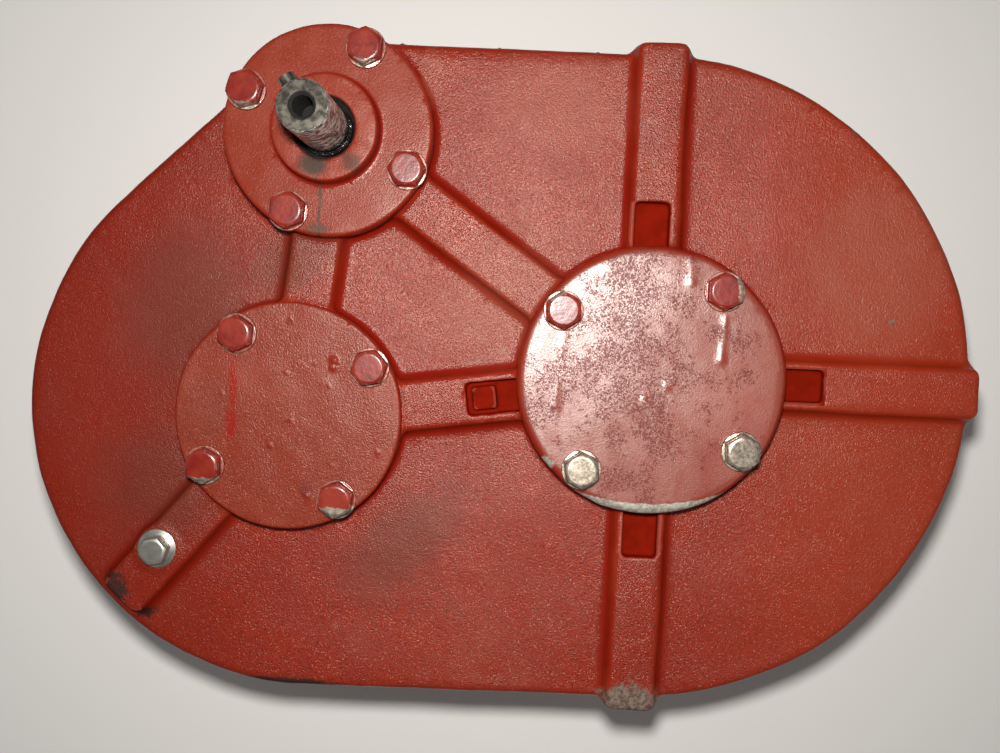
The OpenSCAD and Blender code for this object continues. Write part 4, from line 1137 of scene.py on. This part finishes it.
def build_level_plug():
    seat = top_of("level_plug_washer")
    step = BOLT_STEP * 0.8
    head = hex_head(PLUG, seat, flats=14, height=top_of("level_plug") - seat, turn=12, step=step)
    make_object("level_plug_screw", [head, shank(PLUG, 4, seat - 20, seat + 0.6)],
                zinc("plug_zinc", tone=0.80), "level_plug")
    dished = washer(PLUG, seat - 2, outer=10.8, inner=4.2, thick=2, step=step, slope=0.34,
                    edge_radius=0.4)
    make_object("level_plug_dished_washer", [dished], zinc("washer_zinc", tone=0.58),
                "level_plug_washer")


def placed(part, point, angle, mirror_from=None):
    """A copy turned about Z and moved; mirror_from hangs it below that level."""
    points, faces, normals, edge = part
    cos, sin = math.cos(angle), math.sin(angle)
    turn = np.array([[cos, -sin, 0], [sin, cos, 0], [0, 0, 1]])
    points, normals = points @ turn.T, normals @ turn.T
    if mirror_from is not None:
        points = points * [1, 1, -1] + [0, 0, mirror_from]
        normals = normals * [1, 1, -1]
        faces = [face[::-1] for face in faces]
    return points + [point[0], point[1], 0], faces, normals, edge


def build_flange_bolts(material):
    """One head, washer and nut copied round the flange, heads and nuts each turned by chance."""
    top, bottom = SPLIT + FLANGE_THICK, SPLIT - FLANGE_THICK
    thick = 1.6
    draw = np.random.default_rng(5)
    head = hex_head((0, 0), top + thick, 13, 5.3, 0, FLANGE_BOLT_STEP)
    ring = washer((0, 0), top, outer=7.9, inner=4.2, thick=thick, step=FLANGE_BOLT_STEP)
    nut = hex_head((0, 0), 0, 13, 6.5, 0, FLANGE_BOLT_STEP)
    bolts, washers, nuts = [], [], []
    for point in FLANGE_POINTS:
        bolts += [placed(head, point, draw.uniform(0, 1.05)),
                  shank(point, 3.95, bottom - 10, top + 2.2)]
        washers.append(placed(ring, point, 0))
        nuts.append(placed(nut, point, draw.uniform(0, 1.05), mirror_from=bottom))
    for name, parts, node in (("flange_hex_bolts", bolts, "flange_bolts"),
                              ("flange_plain_washers", washers, "flange_washers"),
                              ("flange_hex_nuts", nuts, "flange_nuts")):
        make_object(name, parts, material, node)


# ---------------------------------------------------------------- CAD nodes that stay
def dress_cad_nodes(fastener_paint):
    by_node = {
        "input_pinion_shaft": steel("input_shaft_steel", (0.092, 0.084, 0.068), 0.38,
                                    turned=False, mottle=1.0, oil=shaft_oil),
        "input_shaft_key": steel("key_steel", (0.15, 0.14, 0.12), 0.38, turned=False, mottle=0.6)}
    balls = plain("bearing_ball_steel", (0.72, 0.73, 0.74), (0.78, 0.79, 0.80), 4, 0.10,
                  metal=1.0, bump=0.004)
    by_slot = {
        "shaft_steel": steel("ground_shaft_steel", (0.52, 0.51, 0.50), 0.24),
        "gear_steel": steel("gear_steel_hobbed", (0.42, 0.42, 0.42), 0.32),
        "bearing_steel": steel("bearing_race_steel", (0.66, 0.67, 0.68), 0.14),
        "brass": plain("cage_brass", (0.62, 0.42, 0.15), (0.74, 0.56, 0.24), 5, 0.28,
                       metal=1.0, bump=0.02, bump_size=0.8),
        "copper": plain("sealing_copper", (0.50, 0.22, 0.10), (0.66, 0.36, 0.20), 4, 0.34,
                        metal=1.0, bump=0.03, bump_size=0.9),
        "seal_rubber": plain("oily_seal_rubber", (0.010, 0.010, 0.010), (0.028, 0.026, 0.024),
                             6, 0.42, metal=0.0, bump=0.03, bump_size=1.2),
        "gasket_paper": plain("oiled_gasket_paper", (0.045, 0.034, 0.026), (0.10, 0.078, 0.055),
                              5, 0.75, metal=0.0, bump=0.06, bump_size=0.7),
        "zinc_plate": zinc("dull_zinc", painted=True),
        "red_paint": CASE_RED,
        "painted_fastener": fastener_paint}
    for node, thing in frame["nodes"].items():
        if node in by_node:
            material = by_node[node]
        else:
            material = balls if node.endswith("_balls") else by_slot[SLOTS[node]]
        if not thing.material_slots:
            thing.data.materials.append(material)
        for slot in thing.material_slots:
            slot.material = material


# ---------------------------------------------------------------- floor, camera, light (metres)
BACKDROP = (0.97, 0.96, 0.94)
BACKDROP_GLOW = 0.40
CAMERA = Vector((-0.07219, 0.03022, 0.68422))
# The plumb line from the lens, as slopes to the right of and below the lens axis
PLUMB_RIGHT, PLUMB_BELOW = 0.01697, -0.05938
CAMERA_TURN = math.radians(2.589)       # about the plumb line


def floor_material():
    """Pale sheet; to the camera it fades into the backdrop well away from the gearbox."""
    mat = Shader("pale_sheet")
    mottle = mat.noise(260, 3, 0.5, seed=201)
    bump = mat.bump(mat.noise(120, 2, 0.5, warp=0.6, seed=202), 3.0, 0.35)
    mat.finish(Base_Color=mat.mix(mottle, (0.825, 0.800, 0.765), (0.865, 0.845, 0.810)),
               Roughness=0.85, Normal=bump)
    glow = mat.node("Emission", {0: BACKDROP, 1: BACKDROP_GLOW})
    seen = mat.node("LightPath", {}).outputs["Is Camera Ray"]
    fade = mat.mul(mat.ramp(mat.radius((-80, 0)), 800, 2500), seen)
    mixed = mat.node("MixShader", {0: fade, 1: mat.bsdf.outputs[0], 2: glow.outputs[0]})
    mat.set(mat.output.inputs[0], mixed.outputs[0])
    return mat.material


def build_floor():
    count = 60
    mesh = bpy.data.meshes.new("floor")
    points = [(float(x), float(y), -0.0004)
              for x in np.linspace(-2.9, 2.7, count) for y in np.linspace(-2.8, 2.8, count)]
    corners = [i * count + j for i in range(count - 1) for j in range(count - 1)]
    mesh.from_pydata(points, [], [(k, k + count, k + count + 1, k + 1) for k in corners])
    floor = bpy.data.objects.new("floor", mesh)
    bpy.context.scene.collection.objects.link(floor)
    mesh.materials.append(floor_material())


def build_camera():
    # world axes in the camera's frame of right, down and forward
    plumb = np.array([PLUMB_RIGHT, PLUMB_BELOW, 1.0])
    plumb /= np.linalg.norm(plumb)
    level = np.array([1.0, 0, 0])
    level -= plumb * (level @ plumb)
    level /= np.linalg.norm(level)
    other = np.cross(-plumb, level)
    cos, sin = math.cos(CAMERA_TURN), math.sin(CAMERA_TURN)
    axes = (cos * level - sin * other, sin * level + cos * other, -plumb)
    lens = bpy.data.cameras.new("camera")
    lens.lens = 36.0
    lens.sensor_width = 36.0
    lens.sensor_fit = "AUTO"
    lens.clip_start = 0.01
    lens.clip_end = 20
    camera = bpy.data.objects.new("camera", lens)
    bpy.context.scene.collection.objects.link(camera)
    rows = [(axis[0], -axis[1], -axis[2], place) for axis, place in zip(axes, CAMERA)]
    camera.matrix_world = Matrix((*rows, (0, 0, 0, 1)))
    bpy.context.scene.camera = camera


def disc_light(name, place, target, *, size, power, colour):
    light = bpy.data.lights.new(name, "AREA")
    light.shape = "DISK"
    light.size = size
    light.energy = power
    light.color = colour
    lamp = bpy.data.objects.new(name, light)
    lamp.location = place
    lamp.rotation_mode = "QUATERNION"
    lamp.rotation_quaternion = (Vector(target) - Vector(place)).to_track_quat("-Z", "Y")
    bpy.context.scene.collection.objects.link(lamp)


def build_lights():
    # a small lamp by the lens gives the tight shadow; broad dim panels fill the sides
    x, y, z = CAMERA
    disc_light("key", (x - 0.012, y + 0.062, z + 0.01), (x - 0.07, y - 0.10, 0),
               size=0.045, power=4.65, colour=(1.0, 0.985, 0.955))
    disc_light("fill_left", (-1.6, 0.5, 1.5), (0, 0, 0.05),
               size=1.4, power=1.6, colour=(0.97, 0.98, 1.0))
    disc_light("fill_right", (1.5, -0.9, 1.5), (0, 0, 0.05),
               size=1.4, power=1.4, colour=(1.0, 0.99, 0.97))
    for k in range(6):                  # a ring of panels lights the walls and the far floor
        cos, sin = compass(15 + 60 * k)
        x, y = -0.08 + 2.1 * cos, 2.1 * sin
        disc_light("wash_%d" % k, (x, y, 1.15), (x * 0.92, y * 0.92, 0),
                   size=1.6, power=3.0, colour=(1.0, 0.99, 0.975))


def build_world():
    """A pale backdrop to look at, with little light of its own."""
    world = bpy.data.worlds.new("room")
    bpy.context.scene.world = world
    world.use_nodes = True
    tree = world.node_tree
    background = tree.nodes["Background"]
    background.inputs[0].default_value = (*BACKDROP, 1)
    path = tree.nodes.new("ShaderNodeLightPath")
    strength = tree.nodes.new("ShaderNodeMapRange")
    strength.inputs["To Min"].default_value = 0.016
    strength.inputs["To Max"].default_value = BACKDROP_GLOW
    tree.links.new(path.outputs["Is Camera Ray"], strength.inputs["Value"])
    tree.links.new(strength.outputs["Result"], background.inputs[1])
    view = bpy.context.scene.view_settings
    view.view_transform = "Standard"
    view.look = "None"
    view.exposure = 0.0


build_castings()
build_covers()
build_cover_bolts()
build_level_plug()
flange_paint = painted_steel("flange_bolt_enamel")
build_flange_bolts(flange_paint)
dress_cad_nodes(flange_paint)
build_floor()
build_camera()
build_lights()
build_world()
